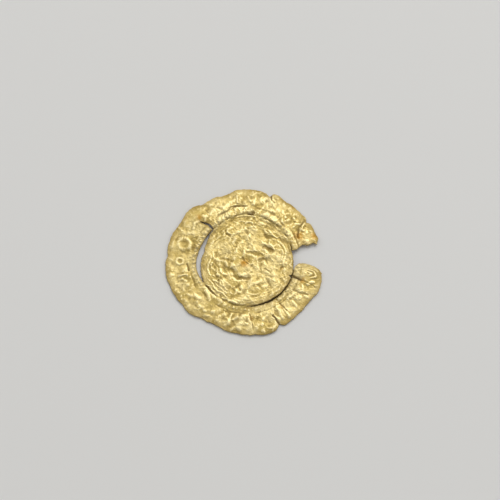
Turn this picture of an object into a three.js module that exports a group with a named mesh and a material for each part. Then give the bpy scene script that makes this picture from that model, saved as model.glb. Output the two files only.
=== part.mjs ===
// A thin hammered gold coin, worn, crumpled and broken.
//
// The coin is one struck flan: a round field in the middle, a ring of beads round it, and an outer band
// that once held an inscription. The gold has torn along the bead ring, so the field hangs in the band by
// two joined stretches, one at the top and one at the lower left. A slot stands open on the left, a fine
// crack runs round the lower right, and a bite is missing from the band on the right.
//
// Millimetres and degrees. The coin lies on its underside at Z = 0, with +Z up and the middle of its
// outline at the origin. Angles turn anticlockwise from +X.
import * as THREE from "three";

// --- Flan ---
const flanRadius = 9.7;
const goldThickness = 0.3;
const rimThickness = 0.2;
const seamRadius = 6.08; // where the field meets the band
// The middle of the struck design, measured from the middle of the outline.
const strikeX = 0.52;
const strikeY = -0.07;

// Where the hammered edge runs out past flanRadius or falls short of it: [angle, half width, amount in mm].
const edgeSwells = [
  [185, 32, 0.72],
  [157, 12, 0.17],
  [137, 7, 0.5],
  [242, 13, -0.38],
  [224, 5, 0.2],
  [284, 9, 0.27],
  [318, 14, -0.2],
  [338, 6, 0.25],
  [92, 11, 0.24],
  [108, 7, -0.22],
  [67, 4, 0.22],
  [48, 12, -0.17],
  [24, 8, -0.15],
];
// Nicks in the edge, in the same form.
const edgeNicks = [
  [176, 2.6, -0.34],
  [126, 3.2, -0.14],
  [296, 2.2, -0.34],
  [72, 1.8, -0.42],
  [35, 2, -0.38],
  [14, 3, -0.42],
  [353, 4, -0.22],
];
// How the seam strays from seamRadius, in the same form.
const seamSwells = [
  [93, 24, 0.32],
  [186, 21, 0.4],
  [12, 22, -0.16],
];

// --- Tears ---
const biteFrom = 355.5; // the band ends here, and begins again at biteTo
const biteTo = 13.5;
const topJoin = [22.5, 135]; // the two stretches where field and band hold together
const lowJoin = [207, 270];
const slotWidth = 0.55;
const slotLeast = 0.05; // at its two ends
const crackWidth = 0.07;
const crackOpening = 9; // degrees over which the crack opens from a join
const looseTurn = 14; // degrees from a join to where field and band are free of each other in height
// Wider places in the slot and the crack, in the form of the edge's swells.
const slotSwells = [[167, 3, 0.16]];
const crackSwells = [
  [297, 9, 0.08],
  [339.75, 1.2, 0.28],
];
const tearAngle = 135; // a tear that runs out from the slot into the band
const tearReach = 0.5; // of the band's width
const splitAngle = 342; // a split that runs out from the crack
const splitReach = 0.27;
// Lines along a tear or break: [share of the band's width, degrees off its nominal angle].
const upperBreak = [
  [0, -0.5], [0.19, -0.5], [0.27, 1.3], [0.4, 3.4], [0.51, 2.7], [0.63, 1.4], [0.84, 2.6], [1, 0.3],
];
const lowerBreak = [
  [0, -7], [0.04, -2.5], [0.17, 1.4], [0.36, 1.8], [0.56, 0.9], [0.75, -0.5], [0.93, -2.8], [1, -5.4],
];
const tearLine = [[0, 0], [0.05, 0.5], [0.2, 0.1], [0.32, 1.6], [0.41, 3.1], [0.5, 3.5], [1, 1.5]];
const splitLine = [[0, -2.2], [1, -4]];
// Half the open width of a tear: [share of the band's width, mm].
const tearHalf = [[0, 0.06], [0.1, 0.13], [0.32, 0.11], [tearReach, 0]];
const splitHalf = [[0, 0.06], [splitReach, 0]];
// Degrees to either side over which the lattice bends with a tear or break, and over which its sides part.
const bendTurn = { upperBreak: 14, lowerBreak: 16, tear: 14, split: 8 };
const partTurn = { tear: 7, split: 5 };

// --- Bend of the sheet ---
const bandRise = 0.26; // of the band's inner edge, most at riseAngle
const riseAngle = 95;
// Slow waves round the band: [how many, turn in degrees, height], and how much of them the outer edge has.
const bandWaves = [
  [3, 20, 0.08],
  [5, 130, 0.06],
  [8, 0, 0.03],
];
const outerWaves = 0.4;
// Lifts of the two broken ends and of the band's inner edge at the lower left, in the form of the swells.
const endLifts = [
  [15, 12, 0.12],
  [352, 10, 0.08],
];
const innerLifts = [[235, 25, 0.14]];
const fieldLow = 0.1; // height of the field's middle, with its slope and its bowl towards fieldTurn
const fieldSlope = 0.13;
const fieldBowl = 0.08;
const fieldTurn = -55;
const hinge = [-0.45, 0.3]; // a join bends between these distances from the seam

// --- Struck design ---
const beadCount = 80;
const beadHeight = 0.13;
const beadHalf = 0.32;
const beadOffset = 0.36; // from the seam to the beads' middles
// The band's marks are wedges that point at the middle, in threes: [degrees past the first, inner radius,
// outer radius].
const wedges = [[0, 7.3, 9], [6.75, 7.6, 9], [13.5, 7.3, 8.4]];
const wedgeStep = 27; // degrees from one three to the next
const wedgesFrom = 22.5;
const wedgesTo = 346;
const wedgeHeight = 0.12;
const wedgeHalf = 2.25; // degrees
const wedgeEase = [0.3, 0.1]; // how far outside and inside its ends a wedge rises
// On the left, a ring and a small annulet stand in place of wedges: [angle and radius of the middle, own
// radius, half width].
const rings = [[164, 8.45, 0.8, 0.42], [180, 8.55, 0.42, 0.32]];
const ringHeight = 0.13;
const calmAngle = 171;
const calmHalf = 20;
const lobeCount = 8;
const tressureRadius = 4.55;
const tressureLobe = 0.55;
const lineHalf = 0.42;
const lineHeight = 0.08;
const crossReach = 3.2;
const crossHalf = 0.5;
const crossTurn = 18;
const crossHeight = 0.13;
const forkBack = 0.2; // from the arm's tip to its fork's ends, back along the arm and to the side
const forkSide = 0.8;
const pelletRadius = 4; // from the middle
const pelletHalf = 0.5;
const bossHalf = 0.9;
const bossHeight = 0.169;

// --- Lattice ---
const sector = 2.25; // degrees between spokes, two to a bead
// Rings of the band, as shares of its width.
const bandRings = [0, 0.1, 0.19, 0.27, 0.36, 0.44, 0.5, 0.58, 0.66, 0.74, 0.82, 0.92, 1];
const underBandRings = [0, 0.27, 0.5, 0.74, 1];
// Rings of the field, as shares of its radius, each group with twice the spoke step of the one before.
const fieldRings = [
  [1, 0.955, 0.9, 0.84, 0.78, 0.72],
  [0.65, 0.58, 0.51, 0.44, 0.37],
  [0.3, 0.23, 0.16],
  [0.08],
];
const underFieldRings = [[1, 0.72], [0.37], [0.16]];
const rimShare = 0.9; // the gold thins from this share of the band's width to its outer edge

const radians = (degrees) => (degrees * Math.PI) / 180;
const clamp = (x) => Math.min(1, Math.max(0, x));
const mix = (a, b, share) => a + (b - a) * share;
const smooth = (low, high, x) => {
  const share = clamp((x - low) / (high - low));
  return share * share * (3 - 2 * share);
};
// The turn from angle b to angle a, between -180 and 180.
const turnFrom = (b, a) => ((((a - b + 180) % 360) + 360) % 360) - 180;
// The turn to an angle from the nearest of several equal steps round the circle.
const turnFromNearest = (first, step, angle) => ((angle - first + step / 2 + 360) % step) - step / 2;
const bell = (distance, halfWidth) => Math.exp(-((distance / halfWidth) ** 2));
const swell = (angle, bumps) =>
  bumps.reduce((sum, [at, halfWidth, amount]) => sum + amount * bell(turnFrom(at, angle), halfWidth), 0);
// The value at x of a line given by its corners.
function along(corners, x) {
  let k = 1;
  while (k < corners.length - 1 && corners[k][0] < x) k += 1;
  const [[x0, y0], [x1, y1]] = [corners[k - 1], corners[k]];
  return mix(y0, y1, clamp((x - x0) / (x1 - x0)));
}

// --- Outlines ---
function flanEdge(angle) {
  const ragged = 0.03 * Math.sin(radians(23 * angle)) + 0.025 * Math.sin(radians(41 * angle + 60));
  return flanRadius + swell(angle, edgeSwells) + swell(angle, edgeNicks) + ragged;
}

const bandInner = (angle) => seamRadius + swell(angle, seamSwells);

// The open width between field and band: none along the joins.
function openWidth(angle) {
  if (angle > topJoin[1] && angle < lowJoin[0]) {
    const share = (angle - topJoin[1]) / (lowJoin[0] - topJoin[1]);
    return slotLeast + slotWidth * Math.sin(Math.PI * share ** 1.25) + swell(angle, slotSwells);
  }
  const past = angle > lowJoin[1] ? angle - lowJoin[1] : angle + 360 - lowJoin[1];
  const before = 360 + topJoin[0] - lowJoin[1] - past;
  if (angle < topJoin[0] || angle > lowJoin[1]) {
    const opened = smooth(0, crackOpening, past) * smooth(0, crackOpening, before);
    return crackWidth * opened + swell(angle, crackSwells);
  }
  return 0;
}

const joined = (angle) =>
  (angle >= topJoin[0] && angle <= topJoin[1]) || (angle >= lowJoin[0] && angle <= lowJoin[1]);
const fieldEdge = (angle) => bandInner(angle) - (joined(angle) ? 0 : openWidth(angle));

// How far the two sides of the seam have come apart in height: 0 at the joins, 1 well away from them.
function looseness(angle) {
  if (joined(angle)) return 0;
  const ends = [topJoin[0], topJoin[1], lowJoin[0], lowJoin[1]];
  return smooth(0, looseTurn, Math.min(...ends.map((end) => Math.abs(turnFrom(end, angle)))));
}

// --- Form of the sheet ---
// Height of the underside of the band. It lies on its outer rim, and rises towards the beads at the top.
function bandLift(angle, radius) {
  const inwards = clamp((flanRadius - radius) / (flanRadius - seamRadius));
  const top = 0.5 + 0.5 * Math.cos(radians(angle - riseAngle));
  const waves = bandWaves.reduce(
    (sum, [count, shift, height]) => sum + height * Math.sin(radians(count * angle + shift)),
    0,
  );
  const inner = inwards * (bandRise * top + swell(angle, innerLifts));
  return Math.max(0, inner + waves * mix(outerWaves, 1, inwards) + swell(angle, endLifts));
}

// Height of the underside of the field. It rises towards the lower right, over the crack.
function fieldLift(x, y) {
  const across = (x * Math.cos(radians(fieldTurn)) + y * Math.sin(radians(fieldTurn))) / seamRadius;
  return fieldLow + fieldSlope * across + fieldBowl * across * across;
}

function underside(x, y, inBand) {
  const angle = (Math.atan2(y, x) * 180) / Math.PI;
  const turned = (angle + 360) % 360;
  const radius = Math.hypot(x, y);
  const bent = smooth(...hinge, radius - bandInner(turned));
  const share = mix(bent, inBand ? 1 : 0, looseness(turned));
  return mix(fieldLift(x, y), bandLift(turned, radius), share);
}

// --- Relief ---
// The height of a rounded ridge at a distance from its middle line.
const ridge = (distance, half, height) => height * Math.max(0, 1 - (distance / half) ** 2);

// Distance from a point to a straight stroke.
function toStroke(x, y, [x0, y0], [x1, y1]) {
  const [dx, dy] = [x1 - x0, y1 - y0];
  const share = clamp(((x - x0) * dx + (y - y0) * dy) / (dx * dx + dy * dy));
  return Math.hypot(x - x0 - share * dx, y - y0 - share * dy);
}
const polar = (angle, radius) => [radius * Math.cos(radians(angle)), radius * Math.sin(radians(angle))];

// Every wedge in the band: its angle, inner radius and outer radius.
const marks = [];
for (let angle = wedgesFrom; angle < wedgesTo; angle += wedgeStep) {
  if (Math.abs(angle - calmAngle) < calmHalf) continue;
  marks.push(...wedges.map(([past, inner, outer]) => [angle + past, inner, outer]));
}

function bandRelief(x, y) {
  const angle = ((Math.atan2(y, x) * 180) / Math.PI + 360) % 360;
  const radius = Math.hypot(x, y);
  const bead = Math.max(0, Math.cos(radians(beadCount * angle)));
  const beads = bead * ridge(radius - bandInner(angle) - beadOffset, beadHalf, beadHeight);
  const [outside, inside] = wedgeEase;
  const wedgeHeights = marks.map(([at, inner, outer]) => {
    const across = Math.max(0, 1 - Math.abs(turnFrom(at, angle)) / wedgeHalf);
    const pastInner = smooth(inner - outside, inner + inside, radius);
    const shortOfOuter = 1 - smooth(outer - inside, outer + outside, radius);
    return wedgeHeight * across * pastInner * shortOfOuter;
  });
  const ringHeights = rings.map(([atAngle, atRadius, ownRadius, half]) => {
    const [ringX, ringY] = polar(atAngle, atRadius);
    return ridge(Math.hypot(x - ringX, y - ringY) - ownRadius, half, ringHeight);
  });
  return Math.max(0, beads, ...wedgeHeights, ...ringHeights);
}

// The field's device: a cross with forked ends inside a border of eight arcs, each arc with a pellet.
function fieldRelief(x, y) {
  const angle = ((Math.atan2(y, x) * 180) / Math.PI + 360) % 360;
  const radius = Math.hypot(x, y);
  const lobeTurn = 360 / lobeCount;
  const fromLobe = turnFromNearest(crossTurn, lobeTurn, angle);
  const border = tressureRadius + tressureLobe * Math.cos(radians((fromLobe * 180) / lobeTurn));
  const [pelletX, pelletY] = polar(angle - fromLobe, pelletRadius);
  const [armX, armY] = polar(turnFromNearest(crossTurn, 90, angle), radius);
  const fork = [[crossReach, 0], [crossReach - forkBack, forkSide]];
  return Math.max(
    0,
    ridge(radius - border, lineHalf, lineHeight),
    ridge(Math.hypot(x - pelletX, y - pelletY), pelletHalf, lineHeight),
    ridge(toStroke(armX, Math.abs(armY), [0, 0], [crossReach, 0]), crossHalf, crossHeight),
    ridge(toStroke(armX, Math.abs(armY), ...fork), crossHalf, crossHeight),
    ridge(radius, bossHalf, bossHeight),
  );
}

// --- Places on the lattice, in the plane ---
// A warp that is whole at a tear and fades out to its sides.
const fade = (distance, reach) => 1 - smooth(0, reach, Math.abs(distance));

// A place on the band: nominal angle, share of the band's width, and which side of the tears it is on.
function bandPlace(angle, share, part) {
  const side = part === "top" ? -1 : 1;
  const splitSide = part === "tongue" ? 1 : -1;
  let turned = angle;
  turned += along(upperBreak, share) * fade(angle - biteTo, bendTurn.upperBreak);
  turned += along(lowerBreak, share) * fade(biteFrom - angle, bendTurn.lowerBreak);
  turned += along(tearLine, share) * fade(angle - tearAngle, bendTurn.tear);
  turned += along(splitLine, share) * fade(angle - splitAngle, bendTurn.split);
  const radius = mix(bandInner(turned), flanEdge(turned), share);
  const tear = side * along(tearHalf, share) * fade(angle - tearAngle, partTurn.tear);
  const split = splitSide * along(splitHalf, share) * fade(angle - splitAngle, partTurn.split);
  return polar(turned + ((tear + split) / radius) * (180 / Math.PI), radius);
}

const fieldPlace = (angle, share) => polar(angle, share * fieldEdge(angle));

// --- Sheets: the top and the underside are each a mesh over the same lattice ---
class Sheet {
  constructor(spokeStep, heightOf) {
    this.spokeStep = spokeStep;
    this.heightOf = heightOf;
    this.points = new Map();
    this.faces = [];
  }

  point(key, [x, y], inBand, share) {
    if (!this.points.has(key)) this.points.set(key, [x, y, this.heightOf(x, y, inBand, share)]);
    return key;
  }

  bandPoint(spoke, share, part) {
    const angle = spoke * sector;
    const whole = joined(angle) && !(angle === tearAngle && part !== "top");
    if (share === 0 && whole) return this.fieldPoint(spoke, 1);
    const torn = angle === tearAngle && share < tearReach;
    const split = angle === splitAngle && share < splitReach;
    const key = `band ${spoke} ${share}${torn || split ? ` ${part}` : ""}`;
    return this.point(key, bandPlace(angle, share, part), true, share);
  }

  fieldPoint(spoke, share) {
    const turned = spoke % (360 / sector);
    return this.point(`field ${turned} ${share}`, fieldPlace(turned * sector, share), false, share);
  }

  // A strip of faces between two rows of points that run anticlockwise, the inner row first. The inner row
  // may have half as many steps.
  strip(inner, outer) {
    const ratio = (outer.length - 1) / (inner.length - 1);
    for (let k = 0; k < inner.length - 1; k += 1) {
      const chain = outer.slice(k * ratio, (k + 1) * ratio + 1);
      this.faces.push([inner[k], chain[0], chain[1]], [inner[k], chain[1], inner[k + 1]]);
      if (ratio === 2) this.faces.push([inner[k + 1], chain[1], chain[2]]);
    }
  }

  band(ringShares) {
    const parts = [
      ["top", biteTo, tearAngle],
      ["side", tearAngle, splitAngle],
      ["tongue", splitAngle, biteFrom],
    ];
    for (const [part, from, to] of parts) {
      const rows = ringShares.map((share) => {
        const row = [];
        for (let spoke = from / sector; spoke <= to / sector; spoke += this.spokeStep) {
          row.push(this.bandPoint(spoke, share, part));
        }
        return row;
      });
      for (let k = 1; k < rows.length; k += 1) this.strip(rows[k - 1], rows[k]);
    }
  }

  field(ringGroups) {
    let step = this.spokeStep;
    let outer = null;
    for (const group of ringGroups) {
      for (const share of group) {
        const row = [];
        for (let spoke = 0; spoke <= 360 / sector; spoke += step) row.push(this.fieldPoint(spoke, share));
        if (outer) this.strip(row, outer);
        outer = row;
      }
      step *= 2;
    }
    const middle = this.point("middle", [0, 0], false, 0);
    for (let k = 0; k < outer.length - 1; k += 1) this.faces.push([middle, outer[k], outer[k + 1]]);
  }

  // The free edges: each point's next one round the outline or round the slot, with the gold on the left.
  freeEdges() {
    const edges = new Set(this.faces.flatMap(([a, b, c]) => [`${a}|${b}`, `${b}|${c}`, `${c}|${a}`]));
    const free = [...edges].map((edge) => edge.split("|")).filter(([a, b]) => !edges.has(`${b}|${a}`));
    return new Map(free);
  }
}

function topOf(x, y, inBand, share) {
  const relief = inBand ? bandRelief(x, y) : fieldRelief(x, y);
  const thin = inBand ? smooth(rimShare, 1, share) * (goldThickness - rimThickness) : 0;
  return underside(x, y, inBand) + goldThickness - thin + relief;
}

function coinGeometry() {
  const top = new Sheet(1, topOf);
  top.band(bandRings);
  top.field(fieldRings);
  const under = new Sheet(2, underside);
  under.band(underBandRings);
  under.field(underFieldRings);

  const vertices = [];
  const number = new Map();
  for (const [name, sheet] of [["top", top], ["under", under]]) {
    for (const [key, [x, y, z]] of sheet.points) {
      number.set(`${name} ${key}`, vertices.length / 3);
      vertices.push(x + strikeX, y + strikeY, z);
    }
  }
  const topId = (key) => number.get(`top ${key}`);
  const underId = (key) => number.get(`under ${key}`);
  const faces = top.faces.map((face) => face.map(topId));
  for (const [a, b, c] of under.faces) faces.push([underId(a), underId(c), underId(b)]);

  // The wall: between two points that both sheets have, the top's edge fans down to the underside's.
  const next = top.freeEdges();
  for (const [from, to] of under.freeEdges()) {
    const chain = [from];
    while (chain[chain.length - 1] !== to) chain.push(next.get(chain[chain.length - 1]));
    const half = Math.floor((chain.length - 1) / 2);
    for (let k = 0; k < chain.length - 1; k += 1) {
      const foot = k < half ? from : to;
      faces.push([topId(chain[k + 1]), topId(chain[k]), underId(foot)]);
    }
    faces.push([topId(chain[half]), underId(from), underId(to)]);
  }

  const geometry = new THREE.BufferGeometry();
  geometry.setAttribute("position", new THREE.Float32BufferAttribute(vertices, 3));
  geometry.setIndex(faces.flat());
  geometry.computeVertexNormals();
  return geometry;
}

const gold = new THREE.MeshStandardMaterial({ color: 0xd8b866, roughness: 0.4, metalness: 1 });

const coin = new THREE.Mesh(coinGeometry(), gold);
coin.name = "coin";

const root = new THREE.Group();
root.add(coin);
export default root;
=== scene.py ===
# %% [markdown]
# # A thin gold coin, hammered, crumpled and broken
#
# The coin is one piece of struck gold about as wide as a fingertip. A round field fills the middle, a ring of
# beads goes round it, and an outer band once held an inscription. It has torn along the beads, so the field
# hangs in the band by two joined stretches, and a bite is gone from the band on the right.
#
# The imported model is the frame: it says where the coin lies and how large it is. Everything below is worked
# out in the same place, in millimetres, and becomes metres when it goes into the mesh.

# %% Load the frame
import bpy
import numpy as np
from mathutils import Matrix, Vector


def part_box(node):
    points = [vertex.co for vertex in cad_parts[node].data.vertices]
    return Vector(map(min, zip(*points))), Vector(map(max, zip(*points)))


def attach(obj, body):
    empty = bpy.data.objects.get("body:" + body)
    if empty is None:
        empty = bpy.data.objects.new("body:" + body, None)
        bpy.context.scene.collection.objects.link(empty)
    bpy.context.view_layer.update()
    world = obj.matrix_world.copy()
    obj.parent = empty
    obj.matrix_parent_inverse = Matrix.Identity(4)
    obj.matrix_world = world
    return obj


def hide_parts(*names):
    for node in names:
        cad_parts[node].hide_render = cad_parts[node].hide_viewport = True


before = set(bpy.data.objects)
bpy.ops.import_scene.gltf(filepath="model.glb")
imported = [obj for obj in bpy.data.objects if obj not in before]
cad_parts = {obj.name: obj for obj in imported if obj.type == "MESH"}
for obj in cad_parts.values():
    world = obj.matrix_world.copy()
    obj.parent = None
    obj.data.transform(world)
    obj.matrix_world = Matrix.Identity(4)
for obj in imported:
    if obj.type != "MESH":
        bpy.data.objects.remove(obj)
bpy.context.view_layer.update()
coin_low, coin_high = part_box("coin")
print("solid coin, mm:", [round(1000 * size, 2) for size in coin_high - coin_low])

# %% [markdown]
# ## The sizes of the flan
#
# A flan is the blank that the dies strike. These are the sizes that the solid was drawn with, in millimetres
# and degrees, with angles turning anticlockwise from +X. Only the rim, the crack and the tear differ a
# little, because this finer mesh can show how thin and torn they are. A worn edge is easiest to describe as
# a circle with a few swells and nicks in it: each is an angle, a half width and an amount, and a bell curve
# spreads it along the edge. The other way, a drawn outline of many points, would be harder to read and to
# change.

# %% Sizes
FLAN_RADIUS = 9.7
GOLD_THICKNESS = 0.3
RIM_THICKNESS = 0.25  # the solid has 0.2
SEAM_RADIUS = 6.08  # where the field meets the band
STRIKE_MIDDLE = np.array([0.52, -0.07])  # the middle of the design, from the middle of the outline

EDGE_SWELLS = [
    (185, 32, 0.72), (157, 12, 0.17), (137, 7, 0.5), (242, 13, -0.38), (224, 5, 0.2), (284, 9, 0.27),
    (318, 14, -0.2), (338, 6, 0.25), (92, 11, 0.24), (108, 7, -0.22), (67, 4, 0.22), (48, 12, -0.17),
    (24, 8, -0.15),
]
EDGE_NICKS = [
    (176, 2.6, -0.34), (126, 3.2, -0.14), (296, 2.2, -0.34), (72, 1.8, -0.42), (35, 2, -0.38), (14, 3, -0.42),
    (353, 4, -0.22),
]
SEAM_SWELLS = [(93, 24, 0.32), (186, 21, 0.4), (12, 22, -0.16)]
print("flan:", 2 * FLAN_RADIUS, "mm across before its swells")

# %% Tears
BITE_FROM, BITE_TO = 355.5, 13.5
TOP_JOIN = (22.5, 135.0)  # the two stretches where field and band hold together
LOW_JOIN = (207.0, 270.0)
SLOT_WIDTH = 0.55
SLOT_LEAST = 0.05  # at its two ends
SLOT_SWELLS = [(167, 3, 0.16)]
CRACK_WIDTH = 0.05  # the solid has 0.07
CRACK_SWELLS = [(297, 9, 0.06), (339.75, 1.2, 0.28)]  # the first is 0.08 in the solid
CRACK_OPENING = 9  # degrees over which the crack opens from a join
LOOSE_TURN = 14  # degrees from a join to where field and band are free of each other in height
LIP_WIDTH = 0.16  # how far the band's torn foot may reach in under the field
LIP_ROOM = 0.04  # the lip is shorter than the step up to the field by this
TEAR_ANGLE, TEAR_REACH = 135.0, 0.5
SPLIT_ANGLE, SPLIT_REACH = 342.0, 0.27

# Lines along a tear or a break: share of the band's width, degrees off its nominal angle.
UPPER_BREAK = [
    (0, -0.5), (0.19, -0.5), (0.27, 1.3), (0.4, 3.4), (0.51, 2.7), (0.63, 1.4), (0.84, 2.6), (1, 0.3),
]
LOWER_BREAK = [
    (0, -7), (0.04, -2.5), (0.17, 1.4), (0.36, 1.8), (0.56, 0.9), (0.75, -0.5), (0.93, -2.8), (1, -5.4),
]
TEAR_LINE = [(0, 0), (0.05, 0.5), (0.2, 0.1), (0.32, 1.6), (0.41, 3.1), (0.5, 3.5), (1, 1.5)]
SPLIT_LINE = [(0, -2.2), (1, -4)]
# Half the open width: share of the band's width, mm. The solid's tear is up to 0.03 mm narrower.
TEAR_HALF = [(0, 0.07), (0.1, 0.145), (0.32, 0.125), (TEAR_REACH, 0)]
SPLIT_HALF = [(0, 0.06), (SPLIT_REACH, 0)]
# Each line, its angle, and the degrees to either side over which the lattice bends with it or parts.
BENDS = [
    (UPPER_BREAK, BITE_TO, 14), (LOWER_BREAK, BITE_FROM, 16), (TEAR_LINE, TEAR_ANGLE, 14),
    (SPLIT_LINE, SPLIT_ANGLE, 8),
]
PARTINGS = [(TEAR_HALF, TEAR_ANGLE, 7), (SPLIT_HALF, SPLIT_ANGLE, 5)]
print("field and band hold together over", TOP_JOIN[1] - TOP_JOIN[0] + LOW_JOIN[1] - LOW_JOIN[0], "degrees")


# %% Curves that the outlines are made of
def smooth(low, high, x):
    """0 below low, 1 above high, and a curve between them that is level at both ends: 3s^2 - 2s^3."""
    share = np.clip((x - low) / (high - low), 0, 1)
    return share * share * (3 - 2 * share)


def turn_from(b, a):
    """The turn from angle b to angle a, between -180 and 180 degrees."""
    return (a - b + 180) % 360 - 180


def bell(distance, half_width):
    """The bell curve, 1 in the middle and e to the minus (distance / half width) squared away from it."""
    return np.exp(-((distance / half_width) ** 2))


def swell(angle, bumps):
    """The sum of bell curves set round a circle: amount times bell(turn from its angle, its half width)."""
    return sum(amount * bell(turn_from(at, angle), half_width) for at, half_width, amount in bumps)


def along(corners, x):
    """Height at x of a line given by its corners."""
    return np.interp(x, *zip(*corners))


def polar(angle, radius):
    """The point at an angle and a radius."""
    return radius * np.cos(np.radians(angle)), radius * np.sin(np.radians(angle))


def to_polar(x, y):
    """The angle, from 0 to 360 degrees, and the radius of a point."""
    return np.degrees(np.arctan2(y, x)) % 360, np.hypot(x, y)


print("a bell curve one half width out:", round(bell(1.0, 1.0), 3))

# %% [markdown]
# ## Noise
#
# Hammered and buried gold is never even. Blender has a Displace modifier with noise textures, but a modifier
# can't tell the field from the band, or run its grain round a ring. So the noise is worked out here in numpy,
# where its coordinates can be stretched or bent first. Gradient noise gives soft lumps. Crumpled foil is
# another thing: thin metal doesn't stretch, so it gives way in flat facets that meet in sharp creases, and
# that takes a noise of facets. Each noise has a seed, a number that only picks which noise of its kind comes
# out.


# %% Soft noise
def dice(column, row, seed):
    """A number from 0 to 1 for each pair of whole numbers, always the same one for the same pair and seed."""
    mixed = (column * 374761393 + row * 668265263 + seed * 144269504) & 0xFFFFFFFF
    mixed = ((mixed ^ (mixed >> 13)) * 1274126177) & 0xFFFFFFFF
    return ((mixed ^ (mixed >> 16)) & 0xFFFF) / 65536


def gradient_noise(x, y, seed):
    """Soft noise from about -0.7 to 0.7. Each whole-number corner has a slope in a random direction, and a
    point takes the blend of its four corners' slopes."""
    x_cell, y_cell = np.floor(x).astype(np.int64), np.floor(y).astype(np.int64)
    x_share, y_share = x - x_cell, y - y_cell

    def corner(dx, dy):
        """The height that the slope of one corner gives."""
        turn = dice(x_cell + dx, y_cell + dy, seed) * 2 * np.pi
        return np.cos(turn) * (x_share - dx) + np.sin(turn) * (y_share - dy)

    across, up = smooth(0, 1, x_share), smooth(0, 1, y_share)
    low = corner(0, 0) * (1 - across) + corner(1, 0) * across
    high = corner(0, 1) * (1 - across) + corner(1, 1) * across
    return low * (1 - up) + high * up


def cloud(x, y, size, seed):
    """Gradient noise whose lumps are about `size` mm wide."""
    return gradient_noise(x / size, y / size, seed)


def wander(place, step, seed, row=0.0):
    """Gradient noise along a line: one row of it, with a new slope at every step."""
    return gradient_noise(place / step, place * 0 + row, seed)


def rough(x, y, seed, fall):
    """Noise on noise: the second layer is twice as fine as the first and `fall` times as high."""
    return gradient_noise(x, y, seed) + fall * gradient_noise(2 * x, 2 * y, seed + 1)


print("soft noise between two corners:", np.round(wander(np.linspace(0, 1, 5), 1, 1), 2))


# %% Crumpled foil
def facets(x, y, seed):
    """Flat slopes between sharp creases, from 0 to about 1. One point is scattered in each square of a grid.
    The height is the squared distance to the second nearest point less that to the nearest."""
    x_cell, y_cell = np.floor(x).astype(np.int64), np.floor(y).astype(np.int64)
    nearest, second = np.full(np.shape(x), 9.0), np.full(np.shape(x), 9.0)
    for column in (x_cell - 1, x_cell, x_cell + 1):
        for row in (y_cell - 1, y_cell, y_cell + 1):
            point_x, point_y = column + dice(column, row, seed), row + dice(column, row, seed + 900)
            gap = (point_x - x) ** 2 + (point_y - y) ** 2
            second = np.minimum(second, np.maximum(nearest, gap))
            nearest = np.minimum(nearest, gap)
    return second - nearest


def crumpled(x, y, cell, seed):
    """Crushed foil: facets less other facets, so that valleys and crests are both sharp. The place is first
    bent by slower noise. Cell is the size of a facet, in mm."""
    bend_x = 0.5 * cell * gradient_noise(x / cell / 1.5, y / cell / 1.5, seed + 5)
    bend_y = 0.5 * cell * gradient_noise(x / cell / 1.5, y / cell / 1.5, seed + 6)
    u, v = (x + bend_x) / cell, (y + bend_y) / cell
    return 0.4 * (facets(u, v, seed) - facets(u * 1.15 + 7.3, v * 1.15, seed + 1))


def layered(x, y, rows):
    """Crushed foil at several sizes, added up. Each row: stretch along x, along y, size of a facet, seed,
    height."""
    return sum(height * crumpled(x / wide, y / high, cell, seed) for wide, high, cell, seed, height in rows)


sample = crumpled(*np.meshgrid(np.linspace(0, 9, 60), np.linspace(0, 9, 60)), 1.0, 21)
print("crumpled foil of height 1 runs from", round(sample.min(), 2), "to", round(sample.max(), 2))


# %% Outlines of flan and seam
def ragged(angle, coarse, fine, seed):
    """Raggedness of an edge, in mm: slow noise and fine noise along it, with their steps in degrees."""
    return 0.07 * wander(angle, coarse, seed, 0.5) + 0.04 * wander(angle, fine, seed + 1)


def flan_edge(angle):
    """Radius of the outer edge: the flan's radius with swells, nicks, two small ripples and raggedness."""
    ripples = 0.03 * np.sin(np.radians(23 * angle)) + 0.025 * np.sin(np.radians(41 * angle + 60))
    outline = FLAN_RADIUS + swell(angle, EDGE_SWELLS) + swell(angle, EDGE_NICKS)
    return outline + ripples + ragged(angle, 2.4, 1.1, 81)


def band_inner(angle):
    """Radius of the band's inner edge: the seam's radius with its swells and raggedness."""
    return SEAM_RADIUS + swell(angle, SEAM_SWELLS) + ragged(angle, 3.5, 1.3, 83)


every_degree = np.arange(0, 360, 1.0)
edge = flan_edge(every_degree)
print("outer edge, mm:", round(edge.min(), 2), "to", round(edge.max(), 2))


# %% Slot, crack and joins
def is_joined(angle):
    """True where field and band hold together."""
    top = (angle >= TOP_JOIN[0]) & (angle <= TOP_JOIN[1])
    return top | ((angle >= LOW_JOIN[0]) & (angle <= LOW_JOIN[1]))


def slot_width(angle):
    """Open width of the slot: a half sine, widest past its middle, with swells, and ragged between its
    ends."""
    share = np.clip((angle - TOP_JOIN[1]) / (LOW_JOIN[0] - TOP_JOIN[1]), 0, 1)
    plain = SLOT_LEAST + SLOT_WIDTH * np.sin(np.pi * share**1.25) + swell(angle, SLOT_SWELLS)
    return plain + 0.08 * wander(angle, 2.7, 85, 4.5) * smooth(0, 0.1, share) * smooth(1, 0.9, share)


def crack_width(angle):
    """Open width of the crack: even, opening from a join at each end, with its swells."""
    past = (angle - LOW_JOIN[1]) % 360
    before = (360 + TOP_JOIN[0] - LOW_JOIN[1]) - past
    opened = smooth(0, CRACK_OPENING, past) * smooth(0, CRACK_OPENING, before)
    return CRACK_WIDTH * opened + swell(angle, CRACK_SWELLS)


def open_width(angle):
    """Width of the gap between field and band: the slot, 0 along the joins, and the crack elsewhere."""
    in_slot = (angle > TOP_JOIN[1]) & (angle < LOW_JOIN[0])
    return np.where(is_joined(angle), 0, np.where(in_slot, slot_width(angle), crack_width(angle)))


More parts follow.
